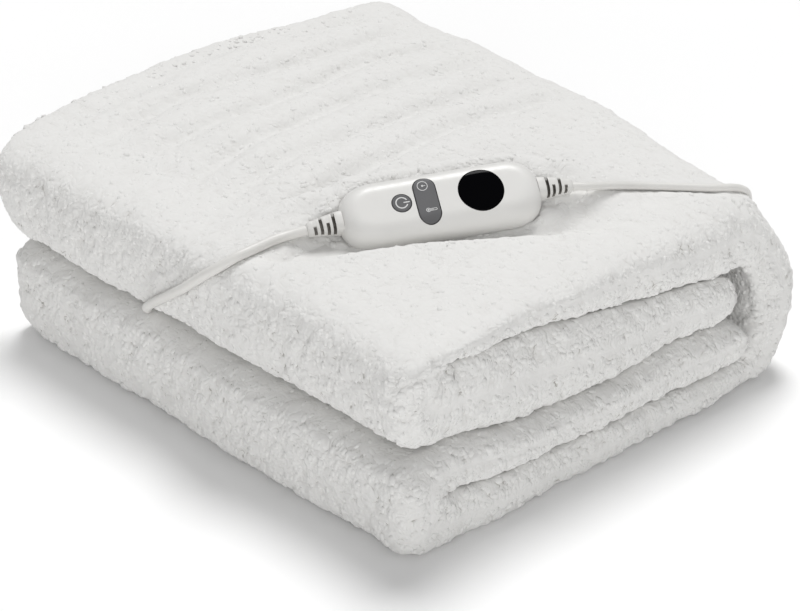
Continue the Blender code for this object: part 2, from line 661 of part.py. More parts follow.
cloth = blanket_mesh()
middle = [(min(v.co[k] for v in cloth.vertices) + max(v.co[k] for v in cloth.vertices)) / 2 for k in (0, 1)]
bundle = bpy.data.objects.new("bundle", None)
bpy.context.scene.collection.objects.link(bundle)
bundle.location = (-middle[0], -middle[1], 0)
place("blanket", cloth, plush, bundle)
build_controller(bundle, white_plastic, grey_plastic, black_glass)
build_cords(bundle, white_plastic, bright_metal)
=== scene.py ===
"""Electric heated blanket, folded for the shelf, with its hand control and mains lead."""
import math

import bmesh
import bpy
from mathutils import Matrix, Vector, noise
from mathutils.kdtree import KDTree


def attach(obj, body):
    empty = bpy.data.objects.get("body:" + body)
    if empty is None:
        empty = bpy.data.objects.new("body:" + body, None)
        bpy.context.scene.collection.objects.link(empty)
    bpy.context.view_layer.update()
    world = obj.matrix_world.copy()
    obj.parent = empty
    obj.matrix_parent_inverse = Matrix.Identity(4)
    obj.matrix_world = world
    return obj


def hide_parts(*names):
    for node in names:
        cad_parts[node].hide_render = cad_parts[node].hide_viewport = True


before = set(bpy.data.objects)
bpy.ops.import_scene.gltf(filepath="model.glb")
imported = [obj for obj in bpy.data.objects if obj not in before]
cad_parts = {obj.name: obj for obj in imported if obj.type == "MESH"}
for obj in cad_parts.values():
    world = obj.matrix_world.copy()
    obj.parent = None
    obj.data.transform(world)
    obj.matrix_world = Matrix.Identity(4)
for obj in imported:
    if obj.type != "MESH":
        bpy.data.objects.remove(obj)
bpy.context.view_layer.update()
MM = 0.001
# Where the lengthwise fold meets the front folds, on the floor. Places below are measured from it.
FOLD_CORNER = Vector((0.20477, -0.191611, 0.0))

# ---- camera ------------------------------------------------------------------------------
# A long lens to the left of the lengthwise fold, looking down on the bundle. Its place and its
# focal length were worked out from the run of the folds.
CAMERA_AZIMUTH = math.radians(46.9)
CAMERA_ELEVATION = math.radians(28.6)
CAMERA_DISTANCE = 1.6725
LOOKS_AT = FOLD_CORNER + Vector((-162.45, 144.4, 57.0)) * MM

lens = bpy.data.cameras.new("camera")
lens.lens = 112.5
lens.sensor_width = 36.0


def add_piece(name, data):
    """Puts a mesh, a curve, a lamp or a camera into the scene as an object of its own."""
    piece = bpy.data.objects.new(name, data)
    bpy.context.scene.collection.objects.link(piece)
    return piece


camera = add_piece("camera", lens)
bpy.context.scene.camera = camera
away = Vector((math.sin(CAMERA_AZIMUTH) * math.cos(CAMERA_ELEVATION),
               -math.cos(CAMERA_AZIMUTH) * math.cos(CAMERA_ELEVATION),
               math.sin(CAMERA_ELEVATION)))
camera.location = LOOKS_AT + away * CAMERA_DISTANCE
camera.rotation_euler = away.to_track_quat("Z", "Y").to_euler()

# ---- studio light ------------------------------------------------------------------------
# A white sweep all round, a wide soft light high up behind the bundle and a weak one in front.
SWEEP_STRENGTH = 0.35
bpy.context.scene.view_settings.view_transform = "Standard"
studio = bpy.data.worlds.new("studio")
studio.use_nodes = True
sweep = studio.node_tree.nodes["Background"]
sweep.inputs["Color"].default_value = (1.0, 1.0, 1.0, 1.0)
sweep.inputs["Strength"].default_value = SWEEP_STRENGTH
bpy.context.scene.world = studio


def soft_light(name, azimuth, elevation, spread_degrees, strength):
    """A light that is as strong everywhere, from a direction and with a softness in degrees."""
    light = bpy.data.lights.new(name, "SUN")
    light.energy = strength
    light.angle = math.radians(spread_degrees)
    lamp = add_piece(name, light)
    turn, rise = math.radians(azimuth), math.radians(elevation)
    towards = Vector((math.cos(turn) * math.cos(rise), math.sin(turn) * math.cos(rise), math.sin(rise)))
    lamp.rotation_euler = towards.to_track_quat("Z", "Y").to_euler()


soft_light("overhead", 130, 64, 23, 2.12)
soft_light("front", -42, 10, 60, 1.3)


# ---- floor -------------------------------------------------------------------------------
# The plain white table that the bundle lies on, matt and so wide that no edge of it shows. Its
# finish, like those of the pieces below, is a graph of shader nodes built by these two classes.
class Varying:
    """A number that changes over a surface. Sums with it add the nodes that work them out."""

    def __init__(self, finish, socket):
        self.finish = finish
        self.socket = socket

    def combine(self, operation, first, second):
        return self.finish.node("ShaderNodeMath", {"operation": operation}, {0: first, 1: second})

    def __add__(self, other):
        return self.combine("ADD", self, other)

    def __sub__(self, other):
        return self.combine("SUBTRACT", self, other)

    def __mul__(self, other):
        return self.combine("MULTIPLY", self, other)

    def __abs__(self):
        return self.combine("ABSOLUTE", self, 0.0)

    __radd__ = __add__
    __rmul__ = __mul__


class Finish:
    """A material of the blanket, made on Blender's principled shader."""

    def __init__(self, name, roughness, **constants):
        self.material = bpy.data.materials.new(name)
        self.material.use_nodes = True
        self.tree = self.material.node_tree
        self.shader = self.tree.nodes["Principled BSDF"]
        self.shader.inputs["Roughness"].default_value = roughness
        for socket, value in constants.items():
            self.shader.inputs[socket.replace("_", " ")].default_value = value

    def node(self, kind, settings, sockets, output=0):
        """Adds a node of a kind, with its settings first and then its sockets' values or links."""
        node = self.tree.nodes.new(kind)
        for name, value in settings.items():
            setattr(node, name, value)
        for name, value in sockets.items():
            if isinstance(value, Varying):
                self.tree.links.new(value.socket, node.inputs[name])
            else:
                node.inputs[name].default_value = value
        return Varying(self, node.outputs[output])

    def place(self):
        return self.node("ShaderNodeTexCoord", {}, {}, "Object")

    def grain(self, place, per_metre, detail=2.0, roughness=0.5):
        """Noise from 0 to 1, with so many cells to a metre."""
        return self.node("ShaderNodeTexNoise", {}, {
            "Vector": place, "Scale": per_metre, "Detail": detail, "Roughness": roughness}, "Fac")

    def between(self, value, low, high, first=0.0, last=1.0):
        """Goes smoothly from first to last while a value goes from low to high."""
        return self.node("ShaderNodeMapRange", {"interpolation_type": "SMOOTHSTEP"}, {
            "Value": value, "From Min": low, "From Max": high, "To Min": first, "To Max": last})

    def blend(self, share, first, second):
        """Colour from the first to the second, by share."""
        node = self.tree.nodes.new("ShaderNodeMix")
        node.data_type = "RGBA"
        for socket, value in (("A", first), ("B", second)):
            entry = next(i for i in node.inputs if i.name == socket and i.type == "RGBA")
            if isinstance(value, Varying):
                self.tree.links.new(value.socket, entry)
            else:
                entry.default_value = (*value, 1.0)
        factor = next(i for i in node.inputs if i.name == "Factor" and i.type == "VALUE")
        self.tree.links.new(share.socket, factor)
        return Varying(self, next(o for o in node.outputs if o.type == "RGBA"))

    def vary(self, socket, value):
        self.tree.links.new(value.socket, self.shader.inputs[socket])

    def colour(self, value):
        self.vary("Base Color", value)

    def relief(self, height, depth, strength=1.0):
        """Bumps of a depth in metres, for a height from 0 to 1."""
        bump = self.node("ShaderNodeBump", {}, {"Height": height, "Distance": depth, "Strength": strength})
        self.vary("Normal", bump)

    def clouded(self, per_metre, first, second):
        """Base colour that drifts from one shade to another in soft clouds."""
        self.colour(self.blend(self.grain(self.place(), per_metre), first, second))

    def uneven(self, per_metre, low, high):
        """Roughness that drifts from low to high, as a moulded or handled face has it."""
        self.vary("Roughness", self.between(self.grain(self.place(), per_metre), 0.3, 0.7, low, high))

    def grained(self, per_metre, depth):
        """Fine grain of a depth in metres."""
        self.relief(self.grain(self.place(), per_metre), depth)


FLOOR_HALF = 6.0
paper = Finish("white table", 0.85, Specular_IOR_Level=0.2)
paper.clouded(3.0, (0.955, 0.955, 0.955), (0.975, 0.975, 0.975))
floor_mesh = bpy.data.meshes.new("floor")
floor_mesh.from_pydata([(-FLOOR_HALF, -FLOOR_HALF, 0), (FLOOR_HALF, -FLOOR_HALF, 0),
                        (FLOOR_HALF, FLOOR_HALF, 0), (-FLOOR_HALF, FLOOR_HALF, 0)], [], [(0, 1, 2, 3)])
floor_mesh.materials.append(paper.material)
add_piece("floor", floor_mesh)


# ---- leads -------------------------------------------------------------------------------
# Round two-core leads in a smooth soft white sheath. One joins the hand control to the
# blanket's heating wires, the other runs over the back of the bundle to the mains plug. What
# isn't seen of it is wound in a coil close behind the bundle.
BLANKET_LEAD_DIAMETER = 6.6 * MM
MAINS_LEAD_DIAMETER = 5.4 * MM
# Routes of what is seen of the leads, and of the mains lead down to its coil, in mm.
BLANKET_LEAD_ROUTE = (
    (-163.6, 36.5, 143.2), (-163.4, 27, 143), (-163.6, 16, 142.5), (-165.6, 8, 140.8),
    (-169.2, 1.5, 137), (-174.6, -3.6, 132.2), (-181.5, -6.7, 126.4), (-191, -7.3, 118.6),
    (-203, -7.2, 109), (-217, -6.5, 99.1), (-230, -5.4, 90), (-240.5, -4.2, 82.2),
    (-248.5, -1.2, 75.8), (-255, 4.4, 70.2),
)
MAINS_LEAD_ROUTE = (
    (-60.8, 229.2, 153.9), (-59.2, 243.7, 149.8), (-55.3, 258.4, 146.1), (-48, 269.8, 144.5),
    (-39.9, 280.4, 143.4), (-32, 291.2, 142.1), (-25, 302.5, 140.7), (-21.8, 312.3, 138.8),
    (-22, 322.3, 134.3), (-25.2, 331.5, 127.9), (-30.6, 340.5, 119.3), (-37, 349.5, 107.8),
    (-44, 359.6, 94), (-50.5, 367.3, 80), (-56.5, 371.5, 65), (-62, 373, 48),
    (-68, 375, 31.5), (-75, 380, 17), (-85, 389.5, 7.5), (-96, 398, 3.8), (-106, 401.9, 3.3),
    (-116, 402.8, 3.3), (-127, 402.8, 3.3),
)
ROUTE_STEP = 3 * MM               # between the points of a lead's smooth route
TAIL_STEP = 5 * MM
CURVE_STEPS = 24                  # to measure the curve between two points of a route
COIL_MIDDLE = Vector((-137, 441, 0)) * MM
COIL_OUTER_TURN = 38.2 * MM       # radius of the outermost turn's middle
COIL_PITCH = 5.5 * MM             # from turn to turn
COIL_FLOOR = 3.3 * MM             # height of the lower turns' middle, over the tie
COIL_STEPS = 40                   # points in a turn
TAIL_ROUTE = ((-150, 402.6, 9.6), (-163, 402.9, 6.2), (-177, 405.4, 4.3), (-191, 412, 5.2),
              (-203, 419.5, 6.6))
PLUG_PLACE = FOLD_CORNER + Vector((-209, 423, 7.1)) * MM
PLUG_HEADING = math.radians(148)

CONTROL_PLACE = FOLD_CORNER + Vector((-111.3, 131.7, 154.9)) * MM
CONTROL_ROLL = math.radians(35)
control = (Matrix.Translation(CONTROL_PLACE)
           @ Matrix.Rotation(math.radians(60), 4, "Z")
           @ Matrix.Rotation(math.radians(-4.2), 4, "Y")
           @ Matrix.Rotation(CONTROL_ROLL, 4, "X"))
control_inverse = control.inverted()
plug = Matrix.Translation(PLUG_PLACE) @ Matrix.Rotation(PLUG_HEADING, 4, "Z")
# The bend sleeves that the leads leave the control by: the mains one is at +1, the other at -1.
GAP = 0.3 * MM
SLEEVE_ROOT = 66 * MM + GAP       # from the control's middle
SLEEVE_LENGTH = 20 * MM
SLEEVE_HEIGHT = -2 * MM           # of their axis, from the control's mid-height
SLEEVE_DROOP = {1: 1.8 * MM, -1: 1.0 * MM}    # how far their tips hang down


def drooping(side, along):
    """Middle of a sleeve, a way along it, and its slope there, in the plane across the control."""
    down = Vector((0, -math.sin(CONTROL_ROLL), -math.cos(CONTROL_ROLL))) * SLEEVE_DROOP[side]
    return down * (along / SLEEVE_LENGTH) ** 2, down * 2 * along / SLEEVE_LENGTH ** 2


def lead_start(side, diameter):
    """First points of a lead, straight on from the tip of its sleeve."""
    tip, slope = drooping(side, SLEEVE_LENGTH)
    exit_at = Vector((side * (SLEEVE_ROOT + SLEEVE_LENGTH), 0, SLEEVE_HEIGHT)) + tip
    onward = (Vector((side, 0, 0)) + slope).normalized()
    return [control @ (exit_at + onward * (GAP + way)) for way in (0, 2 * diameter)]


def curve_point(a, b, c, d, t):
    """Point a share t of the way from b to c, on the smooth curve through four points."""
    return 0.5 * (2 * b + (c - a) * t + (2 * a - 5 * b + 4 * c - d) * t * t
                  + (3 * b - a - 3 * c + d) * t ** 3)


def smooth_route(points, step):
    """Points a step apart on the smooth curve through a route's own points."""
    points = [points[0] * 2 - points[1]] + list(points) + [points[-1] * 2 - points[-2]]
    fine = []
    for a, b, c, d in zip(points, points[1:], points[2:], points[3:]):
        for k in range(CURVE_STEPS):
            t = k / CURVE_STEPS
            fine.append(curve_point(a, b, c, d, t))
    fine.append(points[-2])
    lengths = [0.0]
    for p, q in zip(fine, fine[1:]):
        lengths.append(lengths[-1] + (q - p).length)
    count = max(round(lengths[-1] / step), 2)
    route = []
    k = 0
    for i in range(count + 1):
        target = lengths[-1] * i / count
        while k < len(fine) - 2 and lengths[k + 1] < target:
            k += 1
        span = lengths[k + 1] - lengths[k]
        route.append(fine[k].lerp(fine[k + 1], (target - lengths[k]) / span))
    return route


def ease(low, high, value):
    """0 below low, 1 above high, smooth between."""
    t = min(max((value - low) / (high - low), 0.0), 1.0)
    return t * t * (3 - 2 * t)


def coil_turns():
    """The wound lead: four turns inwards on the floor, then three outwards on top of them."""
    # Each turn's move and the part of the turn in which it happens.
    moves = [((-1, 0), 0.30, 0.60)] * 3 + [((0, 1), 0.20, 0.50)] + [((1, 0), 0.10, 0.40)] * 3
    points = []
    radius = COIL_OUTER_TURN
    height = COIL_FLOOR
    for (outwards, upwards), first, last in moves:
        for k in range(COIL_STEPS):
            share = ease(first, last, k / COIL_STEPS)
            angle = -math.pi / 2 - math.tau * k / COIL_STEPS
            r = radius + outwards * COIL_PITCH * share
            z = height + upwards * COIL_PITCH * share
            points.append(FOLD_CORNER + COIL_MIDDLE + Vector((r * math.cos(angle), r * math.sin(angle), z)))
        radius += outwards * COIL_PITCH
        height += upwards * COIL_PITCH
    points.append(FOLD_CORNER + COIL_MIDDLE + Vector((0, -radius, height)))
    return points


def lead_curve(name, route, diameter, finish):
    """Round lead with closed ends, swept along its route."""
    curve = bpy.data.curves.new(name, "CURVE")
    curve.dimensions = "3D"
    curve.bevel_depth = diameter / 2
    curve.bevel_resolution = 5
    curve.use_fill_caps = True
    spline = curve.splines.new("POLY")
    spline.points.add(len(route) - 1)
    for point, at in zip(spline.points, route):
        point.co = (*at, 1)
    spline.use_smooth = True
    curve.materials.append(finish.material)
    return add_piece(name, curve)


def route_length(route):
    return sum((q - p).length for p, q in zip(route, route[1:]))


sheath = Finish("soft white lead sheath", 0.42, Specular_IOR_Level=0.45)
sheath.clouded(60.0, (0.70, 0.69, 0.665), (0.76, 0.75, 0.725))
sheath.uneven(400.0, 0.36, 0.5)
sheath.grained(900.0, 0.00005)


def from_corner(points):
    """Places given in mm from the corner of the folds."""
    return [FOLD_CORNER + Vector(p) * MM for p in points]


out_of_control = lead_start(-1, BLANKET_LEAD_DIAMETER)
blanket_lead_route = smooth_route(out_of_control + from_corner(BLANKET_LEAD_ROUTE), ROUTE_STEP)
blanket_lead = lead_curve("blanket_lead_sheath", blanket_lead_route, BLANKET_LEAD_DIAMETER, sheath)

# The mains lead runs in to just before the first turn, and out from just after the last one.
wound = coil_turns()
into_plug = [plug @ Vector((-1.5 * MAINS_LEAD_DIAMETER, 0, 0)), plug @ Vector((0, 0, 0))]
out_of_control = lead_start(1, MAINS_LEAD_DIAMETER)
run_in = smooth_route(out_of_control + from_corner(MAINS_LEAD_ROUTE) + wound[:2], ROUTE_STEP)
run_out = smooth_route(wound[-2:] + from_corner(TAIL_ROUTE) + into_plug, TAIL_STEP)
mains_lead_route = [p for p in run_in if p.x > wound[0].x + 2 * MM or p.z > 20 * MM]
mains_lead_route += wound + [p for p in run_out if p.x < wound[-1].x - 3 * MM]
mains_lead = lead_curve("mains_lead_sheath", mains_lead_route, MAINS_LEAD_DIAMETER, sheath)

# ---- plug --------------------------------------------------------------------------------
# Flat two-pin mains plug, moulded in one piece in white, with its pins sleeved at the root
# and its tail grooved to bend. It lies on the floor with the coil.
PLUG_FACE = 58 * MM               # from the tail's tip to the face with the pins
PIN_SPACING = 19 * MM


def power(value, exponent):
    """A power that keeps the value's sign, for blunt rounded outlines."""
    return math.copysign(abs(value) ** exponent, value)


def spread(first, last, count):
    """So many values, an even step apart, from first to last."""
    return [first + (last - first) * i / (count - 1) for i in range(count)]


def made_of(finish, name, skin, place=None, sharp=0):
    """Piece from a closed skin, smooth except at edges sharper than an angle in degrees."""
    bmesh.ops.recalc_face_normals(skin, faces=skin.faces)
    if place:
        bmesh.ops.transform(skin, matrix=place, verts=skin.verts)
    mesh = bpy.data.meshes.new(name)
    skin.to_mesh(mesh)
    skin.free()
    if sharp:
        mesh.shade_smooth()
        mesh.set_sharp_from_angle(angle=math.radians(sharp))
    mesh.materials.append(finish.material)
    return add_piece(name, mesh)


def loft(name, rings, finish, place=None, sharp=35):
    """Closed skin through rings of equal count, first to last, with flat ends."""
    skin = bmesh.new()
    rows = [[skin.verts.new(p) for p in ring] for ring in rings]
    count = len(rows[0])
    for low, high in zip(rows, rows[1:]):
        for j in range(count):
            skin.faces.new((low[j], low[(j + 1) % count], high[(j + 1) % count], high[j]))
    skin.faces.new(rows[0])
    skin.faces.new(rows[-1][::-1])
    return made_of(finish, name, skin, place, sharp)


def circle(radius, count):
    """Points round a circle, in its own plane."""
    return [(radius * math.cos(a), radius * math.sin(a)) for a in spread(0, math.tau, count + 1)[:-1]]


moulded = Finish("moulded white plug", 0.45)
moulded.clouded(90.0, (0.73, 0.72, 0.695), (0.78, 0.77, 0.745))
moulded.uneven(700.0, 0.38, 0.55)
moulded.grained(1500.0, 0.00006)
# Its cross-sections, in mm: place along it, half width and half height.
plug_levels = [(0.0, 3.6, 3.6), (0.6, 4.3, 4.2)]
for groove in (4.0, 8.0, 12.0, 16.0):
    girth = 4.3 + groove * 0.09
    tall = 4.2 + groove * 0.05
    plug_levels += [(groove - 0.8, girth, tall), (groove - 0.7, girth - 1.0, tall - 1.0),
                    (groove + 0.7, girth - 1.0, tall - 1.0), (groove + 0.8, girth + 0.1, tall + 0.1)]
plug_levels += [(20.0, 6.1, 5.2), (22.5, 7.0, 5.5), (24.0, 9.0, 6.0), (26.5, 11.6, 6.45),
                (29.5, 13.4, 6.7), (33.0, 15.6, 6.9), (37.0, 17.0, 7.0), (44.0, 16.4, 6.85),
                (50.0, 16.9, 6.95), (56.0, 17.5, 7.0), (57.4, 17.3, 6.8), (58.0, 16.6, 6.2)]
plug_body = loft("plug_moulding", [
    [(x * MM, w * MM * power(math.cos(a), 0.5), h * MM * power(math.sin(a), 0.5))
     for a in spread(0, math.tau, 65)[:-1]] for x, w, h in plug_levels], moulded, plug)
sleeve = Finish("pin sleeve", 0.5)
sleeve.clouded(300.0, (0.62, 0.61, 0.59), (0.68, 0.67, 0.65))
nickel = Finish("nickel plate", 0.22, Metallic=1.0)
nickel.clouded(500.0, (0.66, 0.65, 0.62), (0.74, 0.73, 0.70))
nickel.grained(2500.0, 0.00002)
# Each pin's two parts, as (place along it, radius) in mm.
PIN_PARTS = (("sleeve", ((0, 1.8), (0.2, 1.88), (9.2, 1.88), (9.5, 1.8)), sleeve),
             ("tip", ((9.5, 1.7), (9.6, 2.0), (16.6, 2.0), (18.0, 1.7), (18.8, 1.1), (19.0, 0.6)), nickel))
plug_pins = []
for number, side in ((1, 1), (2, -1)):
    root = plug @ Matrix.Translation((PLUG_FACE + GAP, side * PIN_SPACING / 2, 0))
    for part, levels, finish in PIN_PARTS:
        rings = [[(x * MM, *p) for p in circle(r * MM, 32)] for x, r in levels]
        plug_pins.append(loft(f"plug_pin_{number}_{part}", rings, finish, root))

# The thin strap of hook-and-loop tape that holds the coil together.
TIE_THICKNESS = 0.4 * MM
TIE_WIDTH = 9 * MM
strap = Finish("coil strap", 0.8)
strap.clouded(500.0, (0.55, 0.545, 0.53), (0.66, 0.655, 0.64))
strap.grained(2500.0, 0.0002)
tie_place = Matrix.Translation(FOLD_CORNER + COIL_MIDDLE) @ Matrix.Rotation(math.radians(70), 4, "Z")
tie_outline = []
tie_radius = MAINS_LEAD_DIAMETER / 2 + 0.1 * MM
inner_turn = COIL_OUTER_TURN - 3 * COIL_PITCH
upper_turn = COIL_FLOOR + COIL_PITCH
for corner_r, corner_z, first in ((inner_turn, COIL_FLOOR, 180), (COIL_OUTER_TURN, COIL_FLOOR, 270),
                                  (COIL_OUTER_TURN, upper_turn, 0), (inner_turn, upper_turn, 90)):
    for angle in spread(first, first + 90, 9):
        turn = math.radians(angle)
        tie_outline.append((corner_r, corner_z, math.cos(turn), math.sin(turn)))


def tie_ring(across, out):
    return [(r + (tie_radius + out) * c, across, z + (tie_radius + out) * s) for r, z, c, s in tie_outline]


tie_skin = bmesh.new()
tie_rows = [[tie_skin.verts.new(tie_place @ Vector(p)) for p in tie_ring(across, out)]
            for across, out in ((-TIE_WIDTH / 2, 0.0), (-TIE_WIDTH / 2, TIE_THICKNESS),
                                (TIE_WIDTH / 2, TIE_THICKNESS), (TIE_WIDTH / 2, 0.0))]
for row, after in zip(tie_rows, tie_rows[1:] + tie_rows[:1]):
    for j in range(len(row)):
        tie_skin.faces.new((row[j], row[(j + 1) % len(row)], after[(j + 1) % len(row)], after[j]))
coil_tie = made_of(strap, "coil_tie", tie_skin, sharp=40)

for piece in [blanket_lead, mains_lead, plug_body, coil_tie] + plug_pins:
    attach(piece, "bundle")
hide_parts("blanket_lead")
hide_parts("mains_lead", "mains_lead_coil", "mains_lead_tail")
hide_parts("plug_body")
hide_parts("plug_pin_1")
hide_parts("plug_pin_2")
route_length(blanket_lead_route)
route_length(mains_lead_route)

# ---- hand control ------------------------------------------------------------------------
# Two soft-cornered half shells of warm white plastic, snapped together along a fine parting
# line. The upper one is cut out for the display window and for the two grey keys.
BODY_LENGTH = 132 * MM
BODY_WIDTH = 46 * MM
BODY_HEIGHT = 22 * MM
END_LENGTH = 26 * MM              # of each rounded end
END_BLUNTNESS = 2.4               # exponent of the ends' curve; 2 would be an ellipse
EDGE_REACH = 13 * MM              # how far in from its side the housing's face is rounded
EDGE_BLUNTNESS = 2.2              # exponent of that rounding
SEAM_HEIGHT = -6 * MM             # of the parting line, from the control's mid-height
FACE = BODY_HEIGHT / 2
FACE_INSETS = (16.0, 19.0, 21.5)  # of the rings that cover the flat of the face, in mm
PROUD = 0.5 * MM                  # of the keys, over the face
# Places on the face, from its middle, and sizes of what is let into it.
DISPLAY = dict(along=25.5 * MM, across=0.0, radius=14.6 * MM, sides=96)
POWER_KEY = dict(along=-26.1 * MM, across=0.0, radius=6.1 * MM, sides=64)
TWO_WAY_KEY = dict(along=-9.9 * MM, across=-1 * MM, length=32 * MM, width=14 * MM)


def shell_outline(inset, z):
    """Plan outline of a half shell, drawn in by an inset, at a height."""
    half_width = BODY_WIDTH / 2 - inset
    straight = BODY_LENGTH / 2 - END_LENGTH
    end = END_LENGTH - inset
    points = []
    for side in (1, -1):
        for angle in spread(-90, 90, 45):
            turn = math.radians(angle)
            c = max(math.cos(turn), 0.0) ** (2 / END_BLUNTNESS)
            s = power(math.sin(turn), 2 / END_BLUNTNESS)
            points.append((side * (straight + end * c), side * half_width * s, z))
        for along in spread(straight, -straight, 13)[1:-1]:
            points.append((side * along, side * half_width, z))
    return points


def rounded(turn, reach, rise):
    """Inset and height of the housing's rounded side, at a turn from the seam up to the face."""
    return (reach * (1 - max(math.cos(turn), 0.0) ** (2 / EDGE_BLUNTNESS)),
            rise * math.sin(turn) ** (2 / EDGE_BLUNTNESS))


def face_drop(across):
    """How far the rounded face lies below its middle line, at a distance to the side."""
    inset = BODY_WIDTH / 2 - abs(across)
    if inset >= EDGE_REACH:
        return 0.0
    turn = math.acos((1 - max(inset, 0.0) / EDGE_REACH) ** (EDGE_BLUNTNESS / 2))
    return FACE - SEAM_HEIGHT - rounded(turn, EDGE_REACH, FACE - SEAM_HEIGHT)[1]


def shell(name, outer_z, seam_z, finish):
    """One half shell, rounded like a pebble from the parting line up to its flat face."""
    rise = outer_z - seam_z
    # The first ring is drawn in behind the edge, so that the parting line is a fine dark groove.
    rings = [shell_outline(1.6 * MM, seam_z + 0.02 * rise), shell_outline(0.3 * MM, seam_z)]
    for angle in spread(4, 90, 19):
        inset, height = rounded(math.radians(angle), EDGE_REACH, rise)
        rings.append(shell_outline(inset, seam_z + height))
    for inset in FACE_INSETS:
        rings.append(shell_outline(inset * MM, outer_z))
    return loft(name, rings, finish, control, sharp=50)


housing = Finish("warm white housing", 0.36, Specular_IOR_Level=0.5)
housing.clouded(45.0, (0.735, 0.728, 0.708), (0.765, 0.758, 0.738))
housing.uneven(260.0, 0.33, 0.42)
housing.grained(3500.0, 0.00004)
cover = shell("control_cover", FACE, SEAM_HEIGHT + GAP / 2, housing)
base = shell("control_base", -FACE, SEAM_HEIGHT - GAP / 2, housing)


def disc_rings(levels, count):
    """Round pane or key, through (height, radius) levels."""
    return [[(*p, z) for p in circle(r, count)] for z, r in levels]


def stadium_rings(length, width, levels):
    """Long round-ended key, its length along Y, through (height, inset) levels."""
    rings = []
    for z, inset in levels:
        r = width / 2 - inset
        straight = (length - width) / 2
        rings.append([(r * math.cos(a), b * straight + r * math.sin(a), z)
                      for b, first in ((1, 0.0), (-1, math.pi))
                      for a in spread(first, first + math.pi, 31)])
    return rings


def at(spot):
    """Where a pane or key sits on the control's face."""
    return control @ Matrix.Translation((spot["along"], spot["across"], 0.0))


BOWED_DEPTH = 1.5 * MM            # of the part of a pane or key that follows the rounded face


def bowed(piece, share=1.0):
    """Bends a flat piece down along the rounded face, by a share of the face's own drop."""
    down = control.to_3x3() @ Vector((0, 0, -1))
    for v in piece.data.vertices:
        place = control_inverse @ v.co
        if place.z > FACE - BOWED_DEPTH:
            v.co += down * face_drop(place.y) * share
    return piece


# Painted shade: the seats' cut walls in the white cover are coloured near black, as shade in the gaps round
# the window and the keys.
painted_seat_shade = Finish("painted shade in the seats", 0.6)
painted_seat_shade.clouded(300.0, (0.055, 0.053, 0.05), (0.085, 0.082, 0.078))
ABOVE_FACE = 2 * MM               # how far the cutters of the seats stand out of the face


def cut_seat(name, rings_of, depth, slack, spot):
    """Cuts a seat for the window or a key out of the cover, with some slack all round, its cut walls in
    painted shade.
    """
    cutter = loft(name, rings_of(spot, slack, (FACE - depth, FACE + ABOVE_FACE)), painted_seat_shade, at(spot))
    seat = cover.modifiers.new(name, "BOOLEAN")
    seat.operation = "DIFFERENCE"
    seat.solver = "EXACT"
    seat.material_mode = "TRANSFER"
    seat.object = cutter
    done = bpy.data.meshes.new_from_object(cover.evaluated_get(bpy.context.evaluated_depsgraph_get()))
    cover.modifiers.clear()
    cover.data = done
    bpy.data.objects.remove(cutter)


def round_seat(spot, slack, heights):
    return disc_rings([(z, spot["radius"] + slack) for z in heights], spot["sides"])


def long_seat(spot, slack, heights):
    return stadium_rings(spot["length"] + 2 * slack, spot["width"] + 2 * slack, [(z, 0.0) for z in heights])


PANE_SLACK = 0.25 * MM            # between the display pane and its seat
KEY_SLACK = 0.5 * MM              # between a key and its seat
cut_seat("display_seat", round_seat, 2.4 * MM, PANE_SLACK, DISPLAY)
cut_seat("power_seat", round_seat, 3.1 * MM, KEY_SLACK, POWER_KEY)
cut_seat("two_way_seat", long_seat, 3.4 * MM, KEY_SLACK, TWO_WAY_KEY)
cover.data.name = "control_cover"
cover.data.shade_smooth()
cover.data.set_sharp_from_angle(angle=math.radians(30))
for piece in (cover, base):
    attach(piece, "bundle")
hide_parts("controller_cover")
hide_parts("controller_base")

# ---- display window ----------------------------------------------------------------------
# A round pane of black acrylic, polished, with a slightly domed face and a fine bevel. It is
# bonded into its seat in the cover, and bends down with the housing's rounded face.
pane = Finish("black display pane", 0.06, Specular_IOR_Level=0.03)
pane.clouded(30.0, (0.0010, 0.0010, 0.0014), (0.0018, 0.0018, 0.0024))
pane.uneven(120.0, 0.04, 0.09)
DOME_RISE = 0.5 * MM              # of the pane's middle, over the face
DOME_DROP = 0.3 * MM              # from its middle to its bevel
window_levels = [(FACE - 2.3 * MM, DISPLAY["radius"] - 0.05 * MM),
                 (FACE - 0.1 * MM, DISPLAY["radius"] - 0.05 * MM),
                 (FACE + 0.12 * MM, DISPLAY["radius"] - 0.25 * MM)]
for share in spread(1.0, 0.06, 12):
    window_levels.append((FACE + DOME_RISE - DOME_DROP * share ** 2, (DISPLAY["radius"] - 0.6 * MM) * share))
window_rings = disc_rings(window_levels, DISPLAY["sides"])
window = bowed(loft("display_pane", window_rings, pane, at(DISPLAY), sharp=60))
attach(window, "bundle")
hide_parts("display_window")

# ---- keys --------------------------------------------------------------------------------
# The round power key and the long two-way key (timer above, temperature below), moulded in
# grey rubber-touch plastic, with their signs printed in white.
rubber = Finish("grey key", 0.5, Specular_IOR_Level=0.3)
rubber.clouded(120.0, (0.112, 0.112, 0.116), (0.136, 0.136, 0.140))
rubber.uneven(500.0, 0.42, 0.58)
rubber.grained(4000.0, 0.00005)
white_print = Finish("white print", 0.55)
white_print.clouded(900.0, (0.62, 0.62, 0.62), (0.74, 0.74, 0.74))
KEY_BOW = 0.85                    # share of the face's own drop that the long key follows
KEY_HOLLOW = 0.12 * MM            # depth of a key's hollowed top
PRINT_HEIGHT = FACE + PROUD + 0.04 * MM
PRINT_DEPTH = 0.22                # in mm, how far the print reaches down into a key


